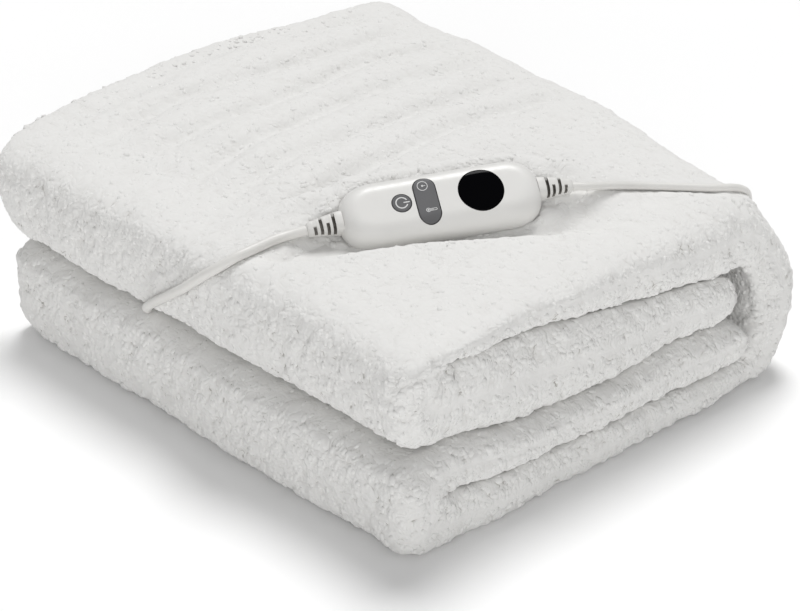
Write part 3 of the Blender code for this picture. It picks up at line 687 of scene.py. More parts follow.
def key_levels(radius):
    """(height, inset) of a key's side and its slightly hollowed top."""
    levels = [(FACE - 2.1 * MM, 0.0), (FACE + 0.05 * MM, 0.0), (FACE + 0.3 * MM, 0.1 * MM),
              (FACE + 0.45 * MM, 0.3 * MM), (FACE + PROUD, 0.6 * MM)]
    for share in (0.8, 0.6, 0.4, 0.2, 0.08):
        levels.append((FACE + PROUD - KEY_HOLLOW * (1 - share ** 2), radius * (1 - share)))
    return levels


power_key = loft("power_key_cap", disc_rings(
    [(z, POWER_KEY["radius"] - inset) for z, inset in key_levels(POWER_KEY["radius"])], POWER_KEY["sides"]),
    rubber, at(POWER_KEY), sharp=50)
two_way_key = bowed(loft("two_way_key_cap", stadium_rings(
    TWO_WAY_KEY["length"], TWO_WAY_KEY["width"], key_levels(TWO_WAY_KEY["width"] / 2)),
    rubber, at(TWO_WAY_KEY), sharp=50), KEY_BOW)


def print_line(skin, points, width, closed=False):
    """Adds a flat printed line along points, in the plane of the control's face."""
    ribbon = []
    count = len(points)
    for i, p in enumerate(points):
        before = points[(i - 1) % count] if closed or i else p
        after = points[(i + 1) % count] if closed or i < count - 1 else p
        along = (Vector(after) - Vector(before)).normalized()
        side = Vector((-along.y, along.x)) * width / 2
        row = []
        for height, sign in ((-PRINT_DEPTH, 1), (0.0, 1), (0.0, -1), (-PRINT_DEPTH, -1)):
            row.append(skin.verts.new((p[0] + side.x * sign, p[1] + side.y * sign,
                                       PRINT_HEIGHT + height * MM)))
        ribbon.append(row)
    for row, after in zip(ribbon, ribbon[1:] + ribbon[:1] * closed):
        for j in range(4):
            skin.faces.new((row[j], row[(j + 1) % 4], after[(j + 1) % 4], after[j]))
    if not closed:
        skin.faces.new(ribbon[0])
        skin.faces.new(ribbon[-1][::-1])


def arc(radius, first, last, count, middle=(0.0, 0.0)):
    """Points round part of a circle, from one angle to another, in degrees."""
    return [(middle[0] + radius * math.cos(math.radians(a)), middle[1] + radius * math.sin(math.radians(a)))
            for a in spread(first, last, count)]


def printed(name, lines, spot):
    """A key's sign, from lines given as points in mm, a width in mm and whether the line is closed."""
    skin = bmesh.new()
    for points, width, closed in lines:
        print_line(skin, [(x * MM, y * MM) for x, y in points], width * MM, closed)
    return made_of(white_print, name, skin, at(spot))


# The signs stand upright for a hand that holds the control with its display away.
power_sign = printed("power_sign", [
    (arc(3.7, 24, 336, 41), 0.75, False),
    ([(1.1, 0), (5.1, 0)], 0.75, False)], POWER_KEY)
CLOCK = (-0.8, 10.4)              # middles of its two signs on the long key, in mm
BULB = (-0.8, -7.1)
STEM_END = BULB[0] + 5.0
STEM = 0.65                       # half width of the thermometer's stem
clock_sign = bowed(printed("clock_sign", [
    (arc(3.2, 0, 352, 45, CLOCK), 0.42, True),
    (arc(0.35, 0, 340, 16, CLOCK), 0.7, True),
    ([CLOCK, (CLOCK[0] + 2.0, CLOCK[1])], 0.36, False)], TWO_WAY_KEY), KEY_BOW)
gauge_sign = bowed(printed("gauge_sign", [
    (arc(1.25, 30, 330, 24, BULB), 0.42, False),
    (arc(0.3, 0, 340, 16, BULB), 0.6, True),
    ([(BULB[0] + 1.1, BULB[1] + STEM), (STEM_END, BULB[1] + STEM)], 0.34, False),
    ([(BULB[0] + 1.1, BULB[1] - STEM), (STEM_END, BULB[1] - STEM)], 0.34, False),
    (arc(STEM, -90, 90, 9, (STEM_END, BULB[1])), 0.34, False),
    ([BULB, (BULB[0] + 3.4, BULB[1])], 0.3, False)], TWO_WAY_KEY), KEY_BOW)
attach(power_key, "power_key")
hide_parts("power_button")
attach(power_sign, "power_key")
for piece in (two_way_key, clock_sign, gauge_sign):
    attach(piece, "two_way_key")
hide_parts("two_way_button")

# ---- bend sleeves ------------------------------------------------------------------------
# Tapered sleeves of soft plastic where the leads leave the control, slotted crosswise from
# above and below so that they bend.
SLEEVE_BASE = 14.4 * MM           # thickness at the control and at the tip
SLEEVE_TIP = 8.4 * MM
# Each slot's place along the sleeve, in mm, and its middle and half span round it, in degrees.
SLEEVE_SLOTS = ((3.4, 116, 66), (7.2, 140, 40), (11.4, 116, 60), (15.4, 138, 38))
SLOT_WIDTH = 2.0 * MM
SLOT_FLOOR = 2.9 * MM             # radius at the bottom of the slots
SLOT_BEVEL = 0.15 * MM            # width and depth of the bevel at a slot's edges
SLOT_TRIM = 0.06 * MM
SLEEVE_SIDES = 72
flexible = Finish("white sleeve plastic", 0.5)
flexible.clouded(90.0, (0.68, 0.672, 0.65), (0.72, 0.712, 0.69))
flexible.grained(2500.0, 0.00005)
# Painted shade: the floors and walls of the slots in the white sleeves are coloured dark grey, as shade deep
# in them.
painted_slot_shade = Finish("painted shade in the sleeve slots", 0.7)
painted_slot_shade.clouded(300.0, (0.13, 0.12, 0.11), (0.2, 0.19, 0.17))


def sleeve_radius(along):
    return (SLEEVE_BASE + (SLEEVE_TIP - SLEEVE_BASE) * along / SLEEVE_LENGTH) / 2


def bend_sleeve_piece(name, side):
    """Sleeve on one side of the control, with painted shade on the floors and walls of its slots."""
    rings = []
    slot_rings = []

    def add_ring(along, trim=0.0, slot=None):
        radius = sleeve_radius(max(along, 0.0)) - trim
        middle, slope = drooping(side, max(along, 0.0))
        ring = []
        for angle in spread(0, math.tau, SLEEVE_SIDES + 1)[:-1]:
            spoke = Vector((0, power(math.cos(angle), 2 / 3), power(math.sin(angle), 2 / 3))) * radius
            if slot:
                off = abs((math.degrees(angle) - slot[0] + 90) % 180 - 90)
                depth = (radius - SLOT_FLOOR) * (1 - ease(slot[1] - 4, slot[1] + 4, off))
                spoke *= 1 - depth / radius
            ring.append(Vector((side * (along - slope.dot(spoke)), 0, 0)) + middle + spoke)
        rings.append(ring)

    add_ring(-2.5 * MM)
    add_ring(0.0)
    for place, middle, half_span in SLEEVE_SLOTS:
        first = place * MM - SLOT_WIDTH / 2
        last = place * MM + SLOT_WIDTH / 2
        add_ring(first - SLOT_BEVEL)
        add_ring(first, SLOT_TRIM)
        add_ring(first + 0.02 * MM, SLOT_TRIM, (middle, half_span))
        slot_rings.append(len(rings) - 1)
        add_ring(last - 0.02 * MM, SLOT_TRIM, (middle, half_span))
        add_ring(last, SLOT_TRIM)
        add_ring(last + SLOT_BEVEL)
    add_ring(SLEEVE_LENGTH - 0.8 * MM)
    add_ring(SLEEVE_LENGTH - 0.1 * MM, 0.3 * MM)
    add_ring(SLEEVE_LENGTH + GAP, 0.8 * MM)
    root = control @ Matrix.Translation((side * SLEEVE_ROOT, 0, SLEEVE_HEIGHT))
    piece = loft(name, rings, flexible, root)
    piece.data.materials.append(painted_slot_shade.material)
    # Faces deep in the slots take the painted shade.
    for ring, (place, middle, half_span) in zip(slot_rings, SLEEVE_SLOTS):
        radius = sleeve_radius(place * MM)
        for j in range(-SLEEVE_SIDES, 2 * SLEEVE_SIDES):
            slot_face = piece.data.polygons[ring * SLEEVE_SIDES + j]
            off_axis = root.inverted() @ slot_face.center - drooping(side, place * MM)[0]
            if math.hypot(off_axis.y, off_axis.z) < radius - 0.7 * MM:
                slot_face.material_index = 1
    return piece


for node, name, side in (("relief_mains_side", "mains_sleeve", 1),
                         ("relief_blanket_side", "blanket_sleeve", -1)):
    bend_sleeve = bend_sleeve_piece(name, side)
    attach(bend_sleeve, "bundle")
    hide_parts(node)

# ---- blanket -----------------------------------------------------------------------------
# Plush underblanket, two plies of fleece with the heating wires sewn in channels between
# them. It is folded in half along its length, and the long strip runs back and forth in
# layers: upper inner, top, bottom and lower inner, with two folds in front and one behind.
CLOTH_WIDTH = 418 * MM            # half of the blanket's width, as it is folded in two
LAYER_GAP = 1.6 * MM              # between the strip's layers
FRONT_Y = 44 * MM                 # where the front folds end and the layers lie flat
BACK_Y = 286 * MM                 # where the layers end and the back fold begins
UPPER_END_Y = 282 * MM            # of the strip's two free ends, inside the back fold
LOWER_END_Y = 295 * MM
STACK = 138 * MM                  # height of all the layers
# Heights in mm of the boundaries between layers, at some depths in mm behind the front.
DEPTHS = (44, 110, 190, 270, 330)
BOUNDARIES = {
    "top": (136, 140, 141, 139, 138),
    "under top layer": (120, 114, 104, 92, 84),
    "middle": (66, 58, 56, 56, 51),
    "over bottom layer": (36, 31, 27, 24, 24),
    "floor": (0, 0, 0, 0, 0),
}
# The folds' outlines, in mm from the front, between the lengthwise fold and the open hems.
FRONT_FOLDS = {
    "upper": dict(tip_at_fold=-2, tip_at_hems=-6, bluntness=3.2),
    "lower": dict(tip_at_fold=-6, tip_at_hems=-4, bluntness=4.6),
}
FRONT_CREASE = 9                  # depth of a front fold's inner crease, in mm
BACK_FOLD = {
    "lengthwise fold": dict(centre=321, reach=44, bluntness=1.5, lean=0.22),
    "hems": dict(centre=330, reach=64, bluntness=3.0, lean=0.05),
}
HOLLOW = dict(centre=300, reach=22)           # the back fold's inner side
HOLLOW_DEPTH = 90 * MM            # how far in from its mouth the hollow's wall shows its pile
# Rounding in mm of the lengthwise fold, on the strip's outer and inner side.
EDGE_ROUNDING = {
    "inner layer": (15, 8),
    "front fold": (17, 8),
    "top layer": (34, 9),
    "back fold": (30, 10),
    "bottom layer": (12, 8),
}
HEM_ROUNDING = 14 * MM            # of the open hems, and of those on top and in front
TOP_HEM_ROUNDING = 30 * MM
LOWER_SHIFT_AT_FOLD = (9 * MM, -5 * MM)       # how far the lower layers lie out of line
LOWER_SHIFT_AT_HEMS = (21 * MM, -2 * MM)
CROWN = 17 * MM                   # most that the top rises towards the hems
# Unevenness of the layers upwards, along Y and along X: noise per metre, its origin, reach in mm.
UNEVENNESS = ((13, (3.1, 0, 0), 4), (12, (0, 7.7, 0), 5), (15, (0, 0, 5.2), 4))
FIRST_CHANNEL_X = -394 * MM       # of the grooves that are sewn between the heating channels
CHANNEL_PITCH = 41 * MM
CHANNELS = 6
CHANNEL_DEPTH = 5.5 * MM
CHANNEL_WIDTH = 9 * MM
CHANNEL_WAVER = 3 * MM            # how far a groove strays from its line
BED_MARGINS = (78 * MM, 26 * MM)  # round the control's ends and sides, where its bed fades out
BED_SINK = 0.5 * MM               # of the control into the cloth
BED_CURL = 12 * MM                # rounding of the control's lower edge, which the cloth follows
BED_RIM = 5 * MM                  # height of the cloth that swells up beside it
PRESSED_DEPTH = 80 * MM           # how deep the layers give way under it
NEST_CLEARANCE = 0.7 * MM         # between the cloth and the control's shell
FINE = 2.6 * MM                   # mesh step where the cloth is seen
PLY_GAP = 0.035                   # share of a layer's thickness left between its plies
FACE_COLUMNS = 160                # of the mesh, across the strip's outer side
HIDDEN_STEP = 8                   # columns skipped where the cloth isn't seen
CREASE_SEEN = 66 * MM             # how far in the crease of the front folds can be looked into
STATIONS = 17                     # places along X where the strip's section is worked out
# Mesh steps across the strip's inner side, and between its plies, as shares of the way.
INNER_STEPS = (0.0, 0.008, 0.017, 0.028, 0.042, 0.06, 0.085, 0.12, 0.17, 0.24, 0.32, 0.4, 0.48, 0.56, 0.64,
               0.72, 0.79, 0.85, 0.9, 0.94, 0.97, 0.988, 1.0)
PLY_STEPS = (0.0, 0.1, 0.3, 0.6, 0.9, 1.0)
PLY_END = 12 * MM                 # from the lengthwise fold to where the plies part


def through(places, values, where):
    """Value at a place on the smooth curve through a short row of values."""
    last = len(places) - 1
    slopes = []
    for i in range(last + 1):
        a = max(i - 1, 0)
        b = min(i + 1, last)
        slopes.append((values[b] - values[a]) / (places[b] - places[a]))
    where = min(max(where, places[0]), places[last])
    i = next(k for k in range(last) if where <= places[k + 1])
    span = places[i + 1] - places[i]
    t = (where - places[i]) / span
    return ((1 + 2 * t) * (1 - t) ** 2 * values[i] + t * (1 - t) ** 2 * span * slopes[i]
            + t * t * (3 - 2 * t) * values[i + 1] + t * t * (t - 1) * span * slopes[i + 1])


def boundary(name, y):
    """Height of a boundary between layers, a distance behind the front."""
    return through(DEPTHS, BOUNDARIES[name], y / MM) * MM


def front_fold(which, share, low, high, crease):
    """Cuts round a front fold: its outer outline and the end of its inner crease."""
    form = FRONT_FOLDS[which]
    tip = (form["tip_at_hems"] + (form["tip_at_fold"] - form["tip_at_hems"]) * share) * MM
    cuts = []
    for angle in spread(-75, 75, 9):
        turn = math.radians(angle)
        c = power(math.cos(turn), 2 / form["bluntness"])
        s = power(math.sin(turn), 2 / form["bluntness"])
        outer = (FRONT_Y - (FRONT_Y - tip) * c, (low + high) / 2 + (high - low) / 2 * s)
        inner = (FRONT_Y - FRONT_CREASE * MM * c, crease + LAYER_GAP / 2 * s)
        cuts.append(("front fold", outer, inner))
    return cuts


def section(x):
    """The strip's cuts from one free end to the other: (stretch, outer, inner) points."""
    share = 1 + x / CLOTH_WIDTH
    at_fold = BACK_FOLD["lengthwise fold"]
    at_hems = BACK_FOLD["hems"]
    back = {k: at_hems[k] + (at_fold[k] - at_hems[k]) * share for k in at_fold}
    half_gap = LAYER_GAP / 2
    cuts = []

    def layer(stretch, first, last, count, outer, outer_side, inner, inner_side):
        for y in spread(first, last, count):
            cuts.append((stretch, (y, boundary(outer, y) + outer_side * half_gap),
                         (y, boundary(inner, y) + inner_side * half_gap)))

    layer("inner layer", UPPER_END_Y, FRONT_Y, 7, "middle", 1, "under top layer", -1)
    cuts += front_fold("upper", share, boundary("middle", FRONT_Y) + half_gap,
                       boundary("top", FRONT_Y), boundary("under top layer", FRONT_Y))
    layer("top layer", FRONT_Y, BACK_Y, 27, "top", 0, "under top layer", 1)
    for angle in spread(80, -80, 11):
        turn = math.radians(angle)
        c = power(math.cos(turn), 2 / back["bluntness"])
        s = power(math.sin(turn), 2 / back["bluntness"])
        rise = STACK / 2 * s
        outer = ((back["centre"] + back["reach"] * c) * MM - back["lean"] * rise, STACK / 2 + rise)
        upper = boundary("under top layer", BACK_Y) + half_gap
        lower = boundary("over bottom layer", BACK_Y) - half_gap
        inner = ((HOLLOW["centre"] + HOLLOW["reach"] * math.cos(turn)) * MM,
                 (upper + lower) / 2 + (upper - lower) / 2 * math.sin(turn))
        cuts.append(("back fold", outer, inner))
    layer("bottom layer", BACK_Y + 20 * MM, FRONT_Y, 6, "floor", 0, "over bottom layer", -1)
    cuts += front_fold("lower", share, 0.0, boundary("middle", FRONT_Y) - half_gap,
                       boundary("over bottom layer", FRONT_Y))
    layer("inner layer", FRONT_Y, LOWER_END_Y, 7, "middle", -1, "over bottom layer", 1)
    return cuts


def crown(x, y):
    """Rise of the top towards the hems, where the plies lie less flat."""
    along = 1 - ease(-175 * MM, -25 * MM, x)
    across = ease(0, 130 * MM, y) * (1 - 0.7 * ease(230 * MM, 400 * MM, y))
    return CROWN * along * (0.25 + 0.75 * across)


bed = Matrix.Translation(-FOLD_CORNER) @ control
bed_inverse = bed.inverted()
bed_normal = bed.to_3x3() @ Vector((0, 0, 1))
bed_under = bed.translation - bed_normal * (BODY_HEIGHT / 2 - BED_SINK)


def press_bed(point, on_face):
    """Lays the top of the cloth along the control's underside, and less so what is below."""
    bed_z = bed_under.z - (bed_normal.x * (point.x - bed_under.x)
                           + bed_normal.y * (point.y - bed_under.y)) / bed_normal.z
    place = bed_inverse @ Vector((point.x, point.y, bed_z))
    past = [max(abs(v) - size / 2, 0.0) for v, size in zip(place, (BODY_LENGTH, BODY_WIDTH))]
    outside = math.hypot(*(p / margin for p, margin in zip(past, BED_MARGINS)))
    inset = min(BODY_LENGTH / 2 - abs(place.x), BODY_WIDTH / 2 - abs(place.y))
    surface = boundary("top", point.y) + crown(point.x, point.y)
    if on_face:
        surface += (point.z - surface) * ease(0.75 * STACK, 0.95 * STACK, point.z)
    weight = (1 - ease(0.1, 1.0, outside)) * (1 - ease(0, PRESSED_DEPTH, surface - point.z))
    if weight == 0:
        return point
    beside = 1 - ease(BODY_LENGTH / 2 - 16 * MM, BODY_LENGTH / 2 - 2 * MM, abs(place.x))
    rim = BED_RIM * beside * (1 - ease(-5 * MM, 2 * MM, inset))
    laid = bed_inverse @ (point + Vector((0, 0, (bed_z + rim - surface) * weight)))
    if on_face and inset > 0:
        curl = 1 - math.sqrt(1 - (1 - min(inset / BED_CURL, 1)) ** 2)
        under_shell = -BODY_HEIGHT / 2 + curl * (BODY_HEIGHT / 2 + SEAM_HEIGHT) - NEST_CLEARANCE
        laid.z += (min(laid.z, under_shell) - laid.z) * weight
    return bed @ laid


def settle(point, on_face):
    """Smooth shift of space that crowns the bundle and makes its layers uneven."""
    x, y, z = point
    low = 1 - ease(30 * MM, 100 * MM, z)
    share = 1 + x / CLOTH_WIDTH
    shift = [h + (f - h) * share for f, h in zip(LOWER_SHIFT_AT_FOLD, LOWER_SHIFT_AT_HEMS)]
    x += shift[0] * low
    y += shift[1] * low
    level = min(z / STACK, 1.1)
    z += crown(x, y) * level ** 1.6
    here = Vector((x, y, z))
    lift, sway, push = (noise.noise(here * per_metre + Vector(origin)) * reach * MM
                        for per_metre, origin, reach in UNEVENNESS)
    return press_bed(Vector((x + push, y + sway, z + lift * level)), on_face)


def channel_depth(x, y):
    """Depth of the grooves sewn between the heating channels."""
    fade = ease(30 * MM, 95 * MM, y) * (1 - ease(300 * MM, 345 * MM, y))
    depth = 0.0
    for k in range(CHANNELS):
        groove_x = FIRST_CHANNEL_X + k * CHANNEL_PITCH + CHANNEL_WAVER * math.sin(y / (38 * MM) + 2 * k)
        depth = max(depth, math.exp(-((x - groove_x) / CHANNEL_WIDTH) ** 2))
    return CHANNEL_DEPTH * depth * fade


def smooth_at(values, i, t):
    """Point a share t of the way from value i to the next, on a smooth curve."""
    last = len(values) - 1
    a, b, c, d = (values[min(max(k, 0), last)] for k in (i - 1, i, i + 1, i + 2))
    return curve_point(a, b, c, d, t)


# The strip's section at some stations along X, each as the curve of its outer and inner side.
sections = [section(x) for x in spread(-CLOTH_WIDTH, 0.0, STATIONS)]
stations = [[Vector((*outer, *inner)) for stretch, outer, inner in cuts] for cuts in sections]
stretches = [stretch for stretch, outer, inner in sections[0]]
# Rounding of the cloth's edges, cut by cut, evened out from one stretch to the next.
roundings = []
for stretch in stretches:
    outer_hem = TOP_HEM_ROUNDING if stretch in ("top layer", "front fold") else HEM_ROUNDING
    roundings.append(Vector((*(v * MM for v in EDGE_ROUNDING[stretch]), outer_hem)))
for _ in range(3):
    last = len(roundings) - 1
    roundings = [(roundings[max(i - 1, 0)] + 2 * roundings[i] + roundings[min(i + 1, last)]) / 4
                 for i in range(last + 1)]

# Rows of the mesh, an even step apart along the outer side of the strip.
rows = []
walked = FINE
previous = None
for i in range(len(stretches) - 1):
    for t in spread(0.0, 1.0, 33)[:-1]:
        here = smooth_at(stations[STATIONS // 2], i, t)
        if previous is not None:
            outer_step = math.hypot(here[0] - previous[0], here[1] - previous[1])
            inner_step = math.hypot(here[2] - previous[2], here[3] - previous[3])
            walked += max(outer_step, inner_step * 0.75)
        previous = here
        if walked >= FINE:
            rows.append((i, t))
            walked -= FINE
rows.append((len(stretches) - 2, 1.0))


def is_seen(i, t):
    """Whether the strip's outer face shows at a row."""
    stretch = stretches[i if t < 0.5 else i + 1]
    here = smooth_at(stations[STATIONS // 2], i, t)
    if stretch == "bottom layer":
        return False
    return stretch != "inner layer" or here[0] < CREASE_SEEN


def ring_points(i, t, seen):
    """Columns kept in one row of the strip, hem to hem, their (x, share of the thickness) and pile."""
    outer_edge, inner_edge, outer_hem = smooth_at(roundings, i, t)
    hem = HEM_ROUNDING
    face = spread(outer_hem - CLOTH_WIDTH, -outer_edge, FACE_COLUMNS)
    kept = [k for k in range(FACE_COLUMNS) if seen or k % HIDDEN_STEP == 0 or k == FACE_COLUMNS - 1]
    points = [(face[k], 1.0) for k in kept]
    for angle in spread(84, -84, 15):
        turn = math.radians(angle)
        share = power(math.sin(turn), 2 / 2.3)
        rounding = outer_edge if share > 0 else inner_edge
        points.append((-rounding * (1 - math.cos(turn) ** (2 / 2.3)), share))
    inner_span = CLOTH_WIDTH - hem - inner_edge
    for step in INNER_STEPS:
        points.append((-inner_edge - inner_span * step, -1.0))
    for angle in spread(66, -78, 7):
        turn = math.radians(angle)
        points.append((hem * (1 - math.cos(turn)) - CLOTH_WIDTH,
                       -(1 + PLY_GAP) / 2 - (1 - PLY_GAP) / 2 * math.sin(turn)))
    for step in PLY_STEPS:
        points.append((hem * 0.9 - CLOTH_WIDTH + (CLOTH_WIDTH - hem - PLY_END) * step, -PLY_GAP))
    for step in PLY_STEPS[::-1]:
        points.append((outer_hem * 0.9 - CLOTH_WIDTH + (CLOTH_WIDTH - outer_hem - PLY_END) * step, PLY_GAP))
    for angle in spread(-78, 66, 8):
        turn = math.radians(angle)
        points.append((outer_hem * (1 - math.cos(turn)) - CLOTH_WIDTH,
                       (1 + PLY_GAP) / 2 + (1 - PLY_GAP) / 2 * math.sin(turn)))
    kept += range(FACE_COLUMNS, FACE_COLUMNS + len(points) - len(kept))
    in_hollow = stretches[i] == "back fold"
    furs = []
    for x, share in points:
        if share == -1.0:
            furs.append(float(in_hollow and x > -HOLLOW_DEPTH))
        elif share == 1.0:
            furs.append(float(seen))
        else:
            furs.append(float(abs(share) > PLY_GAP))
    return kept, points, furs


def cloth_point(i, t, x, share, squeeze=1.0, forward=0.0):
    """Place of a point of the cloth, by its cut, its x and its share of the thickness."""
    place = min(max((x + CLOTH_WIDTH) / CLOTH_WIDTH * (STATIONS - 1), 0.0), STATIONS - 1.001)
    k = int(place)
    here = smooth_at(stations[k], i, t).lerp(smooth_at(stations[k + 1], i, t), place - k)
    y = (here[0] + here[2]) / 2 + (here[0] - here[2]) / 2 * share * squeeze
    z = (here[1] + here[3]) / 2 + (here[1] - here[3]) / 2 * share * squeeze
    stretch = stretches[i if t < 0.5 else i + 1]
    on_face = stretch in ("top layer", "back fold", "front fold") and share > 0.9
    if on_face and z > 0.6 * STACK:
        z -= channel_depth(x, y)
    return settle((x, y + forward, max(z, 0.0)), on_face)


cloth = bmesh.new()
fur_layer = cloth.verts.layers.float.new("pile")
grid = []
# The strip's free ends are rounded off: share of the thickness, and way past its last cut.
free_end = ((0.97, 4 * MM), (0.8, 9 * MM), (0.45, 13 * MM))
order = [(*rows[0], s, f) for s, f in reversed(free_end)]
order += [(i, t, 1.0, 0.0) for i, t in rows]
order += [(*rows[-1], s, f) for s, f in free_end]
for i, t, squeeze, forward in order:
    kept, points, furs = ring_points(i, t, is_seen(i, t))
    row = {}
    for k, (x, share), fur in zip(kept, points, furs):
        row[k] = cloth.verts.new(FOLD_CORNER + cloth_point(i, t, x, share, squeeze, forward))
        row[k][fur_layer] = fur
    grid.append(row)
# Neighbouring rows are joined between the columns that both have.
ring_size = max(grid[0]) + 1
for low, high in zip(grid, grid[1:]):
    shared = sorted(set(low) & set(high))
    for j, first in enumerate(shared):
        after = shared[(j + 1) % len(shared)]
        stop = after if after > first else ring_size
        near = [low[k] for k in range(first, stop) if k in low] + [low[after]]
        far = [high[k] for k in range(first, stop) if k in high] + [high[after]]
        cloth.faces.new(near + far[::-1])
for row, turned in ((grid[0], False), (grid[-1], True)):
    loop = [row[k] for k in sorted(row)]
    cloth.faces.new(loop[::-1] if turned else loop)
bmesh.ops.triangulate(cloth, faces=[f for f in cloth.faces if len(f.verts) > 4], ngon_method="EAR_CLIP")
bmesh.ops.recalc_face_normals(cloth, faces=cloth.faces)
cloth_mesh = bpy.data.meshes.new("blanket_cloth")
cloth.to_mesh(cloth_mesh)
cloth.free()

# Warm white fleece, with painted shade in the hollows between its curds and along the partings of its pile,
# and dark painted shade in the slits where it opens.
plush = Finish("white plush", 0.92, Specular_IOR_Level=0.08, Sheen_Weight=0.12, Sheen_Roughness=0.6)
plush_place = plush.place()
drift = plush.node("ShaderNodeTexNoise", {}, {"Vector": plush_place, "Scale": 70.0, "Detail": 1.0}, "Color")
drift = plush.node("ShaderNodeVectorMath", {"operation": "MULTIPLY_ADD"}, {
    0: drift, 1: (0.012, 0.012, 0.012), 2: (-0.006, -0.006, -0.006)})
swayed = plush.node("ShaderNodeVectorMath", {"operation": "ADD"}, {0: plush_place, 1: drift})
parting = plush.node("ShaderNodeAttribute", {"attribute_name": "parting"}, {}, "Fac")
small_curds = abs(plush.grain(swayed, 170.0, 1.0) - 0.5)
fibres = plush.grain(swayed, 800.0, 3.0, 0.65)
clouds = plush.grain(plush_place, 38.0)
opened = plush.between(plush.grain(plush_place, 60.0, 1.0), 0.45, 0.58)
# Mask of the painted shade in the slits: narrow troughs of the small curds, in the partings, where the pile
# opens.
slit = plush.between(small_curds, 0.0, 0.036, 1.0, 0.0) * plush.between(parting, 0.15, 0.7) * opened
plush_tone = plush.blend(clouds, (0.770, 0.764, 0.748), (0.792, 0.787, 0.773))
# Painted shade in the small hollows between curds, deeper along the partings.
plush_tone = plush.blend(plush.between(small_curds, 0.10, 0.0) * (0.08 + parting * 0.4),
                         plush_tone, (0.66, 0.645, 0.62))
# Painted shade along the partings of the pile.
plush_tone = plush.blend(parting * 0.22, plush_tone, (0.60, 0.585, 0.56))
loose_here = plush.node("ShaderNodeAttribute", {"attribute_name": "loose"}, {}, "Fac")
# Dark painted shade in the slits, less of it on faces that look up, where the pile lies flat.
plush.colour(plush.blend(slit * loose_here * 0.9, plush_tone, (0.30, 0.285, 0.26)))
plush.relief((fibres * 0.22 + small_curds * 2.4) * loose_here, 0.0014, 0.75)
cloth_mesh.materials.append(plush.material)
cloth_mesh.shade_smooth()

# ---- pile --------------------------------------------------------------------------------
# The plush's matted pile: soft curds of fibre that press against one another and part in fine
# slits. It is brushed flatter on top, stands up round the control, and parts for the leads.
CURD_RISE = 2.4 * MM
BROAD_CURDS = 82                  # noise per metre that shapes the curds
SMALL_CURDS = 165
CURD_SWAY = 6 * MM                # how far the curds' rows sway, and how often per metre
SWAYS = 55
TOP_FACING = (0.55, 0.95)         # from how far a face looks up it is brushed flat
NEST_FLOOR = -9.6 * MM            # of the pile under the sleeves, from the control's mid-height
NEST_RISE = (0.6 * MM, 5 * MM)    # least and most that the pile rises round the control
NEST_REACH = (3 * MM, 17 * MM)    # from the control's outline, where that rise fades out
LEAD_RISE = 1.9 * MM              # of the pile that stands up beside a lead
LEAD_REACH = (6 * MM, 18 * MM)
LEAD_CLEARANCE = 0.2 * MM
cloth_mesh.update()
lead_spots = KDTree(len(blanket_lead_route) + len(run_in))
for number, spot in enumerate(blanket_lead_route + run_in):
    lead_spots.insert(spot, number)
lead_spots.balance()
noise.seed_set(7)


def past_outline(under):
    """How far outside the control's plan outline a place is, in the control's own axes."""
    if under.z < -30 * MM:
        return 50 * MM            # well below it, and so in any case clear of it
    past = max(abs(under.x) - BODY_LENGTH / 2 + END_LENGTH, 0.0)
    reach = (past / END_LENGTH) ** END_BLUNTNESS + (abs(under.y) / (BODY_WIDTH / 2)) ** END_BLUNTNESS
    return (reach ** (1 / END_BLUNTNESS) - 1) * BODY_WIDTH / 2


def nest_height(under):
    """How high the pile stands against the control: up to its seam, and lower under its sleeves."""
    beside_sleeve = ease(8 * MM, 12 * MM, abs(under.y))
    return NEST_FLOOR + (SEAM_HEIGHT - NEST_FLOOR) * beside_sleeve


def curds(here):
    """Height of the pile's curds, from 0 in the partings between them to 1."""
    swayed = here + noise.noise_vector(here * SWAYS) * CURD_SWAY
    broad = min(abs(noise.noise(swayed * BROAD_CURDS)) * 2.4, 1.0) ** 0.7
    small = min(abs(noise.noise(swayed * SMALL_CURDS + Vector((5, 0, 0)))) * 2.4, 1.0) ** 0.8
    return 0.62 * broad + 0.38 * small


# How far the pile is parted at each point and how loose it is, which the plush's painted shade follows, and
# where it is let grow at all.
cloth_mesh.attributes.new("parting", "FLOAT", "POINT")
looseness = cloth_mesh.attributes.new("loose", "FLOAT", "POINT").data
partings = cloth_mesh.attributes["parting"].data
shade_share = cloth_mesh.attributes["pile"].data
resting = [v.co.copy() for v in cloth_mesh.vertices]
upward = [v.normal.copy() for v in cloth_mesh.vertices]
for v, here, normal, cover_share, parted, slack in zip(cloth_mesh.vertices, resting, upward, shade_share,
                                                       partings, looseness):
    under = control_inverse @ here
    outside_control = past_outline(under)
    lead_near = lead_spots.find(here)[2]
    if cover_share.value > 0:
        height = curds(here)
        lumps = noise.noise(here * 42 + Vector((0, 9, 0)))
        flattened = ease(*TOP_FACING, normal.z)
        loose = 1 - 0.5 * flattened
        raised = CURD_RISE * (height - 0.45) * loose + lumps * 0.9 * MM
        nested = ease(-1.5 * MM, 0.5 * MM, outside_control) * (1 - ease(*NEST_REACH, outside_control))
        raised += nested * min(max(nest_height(under) - under.z, NEST_RISE[0]), NEST_RISE[1])
        raised += LEAD_RISE * (1 - ease(*LEAD_REACH, lead_near))
        raised = min(raised, lead_near - BLANKET_LEAD_DIAMETER / 2 - LEAD_CLEARANCE)
        room = ease(-2 * MM, 0.5 * MM, outside_control)
        v.co = here + normal * min(raised, max(raised, 0.0) * room) * cover_share.value
        v.co.z = max(v.co.z, 0.0)
        parted.value = (1 - ease(0.12, 0.5, height)) * loose
        slack.value = 1 - 0.65 * flattened
    if outside_control < -0.5 * MM or lead_near < BLANKET_LEAD_DIAMETER / 2 + 0.6 * MM:
        cover_share.value = 0.0
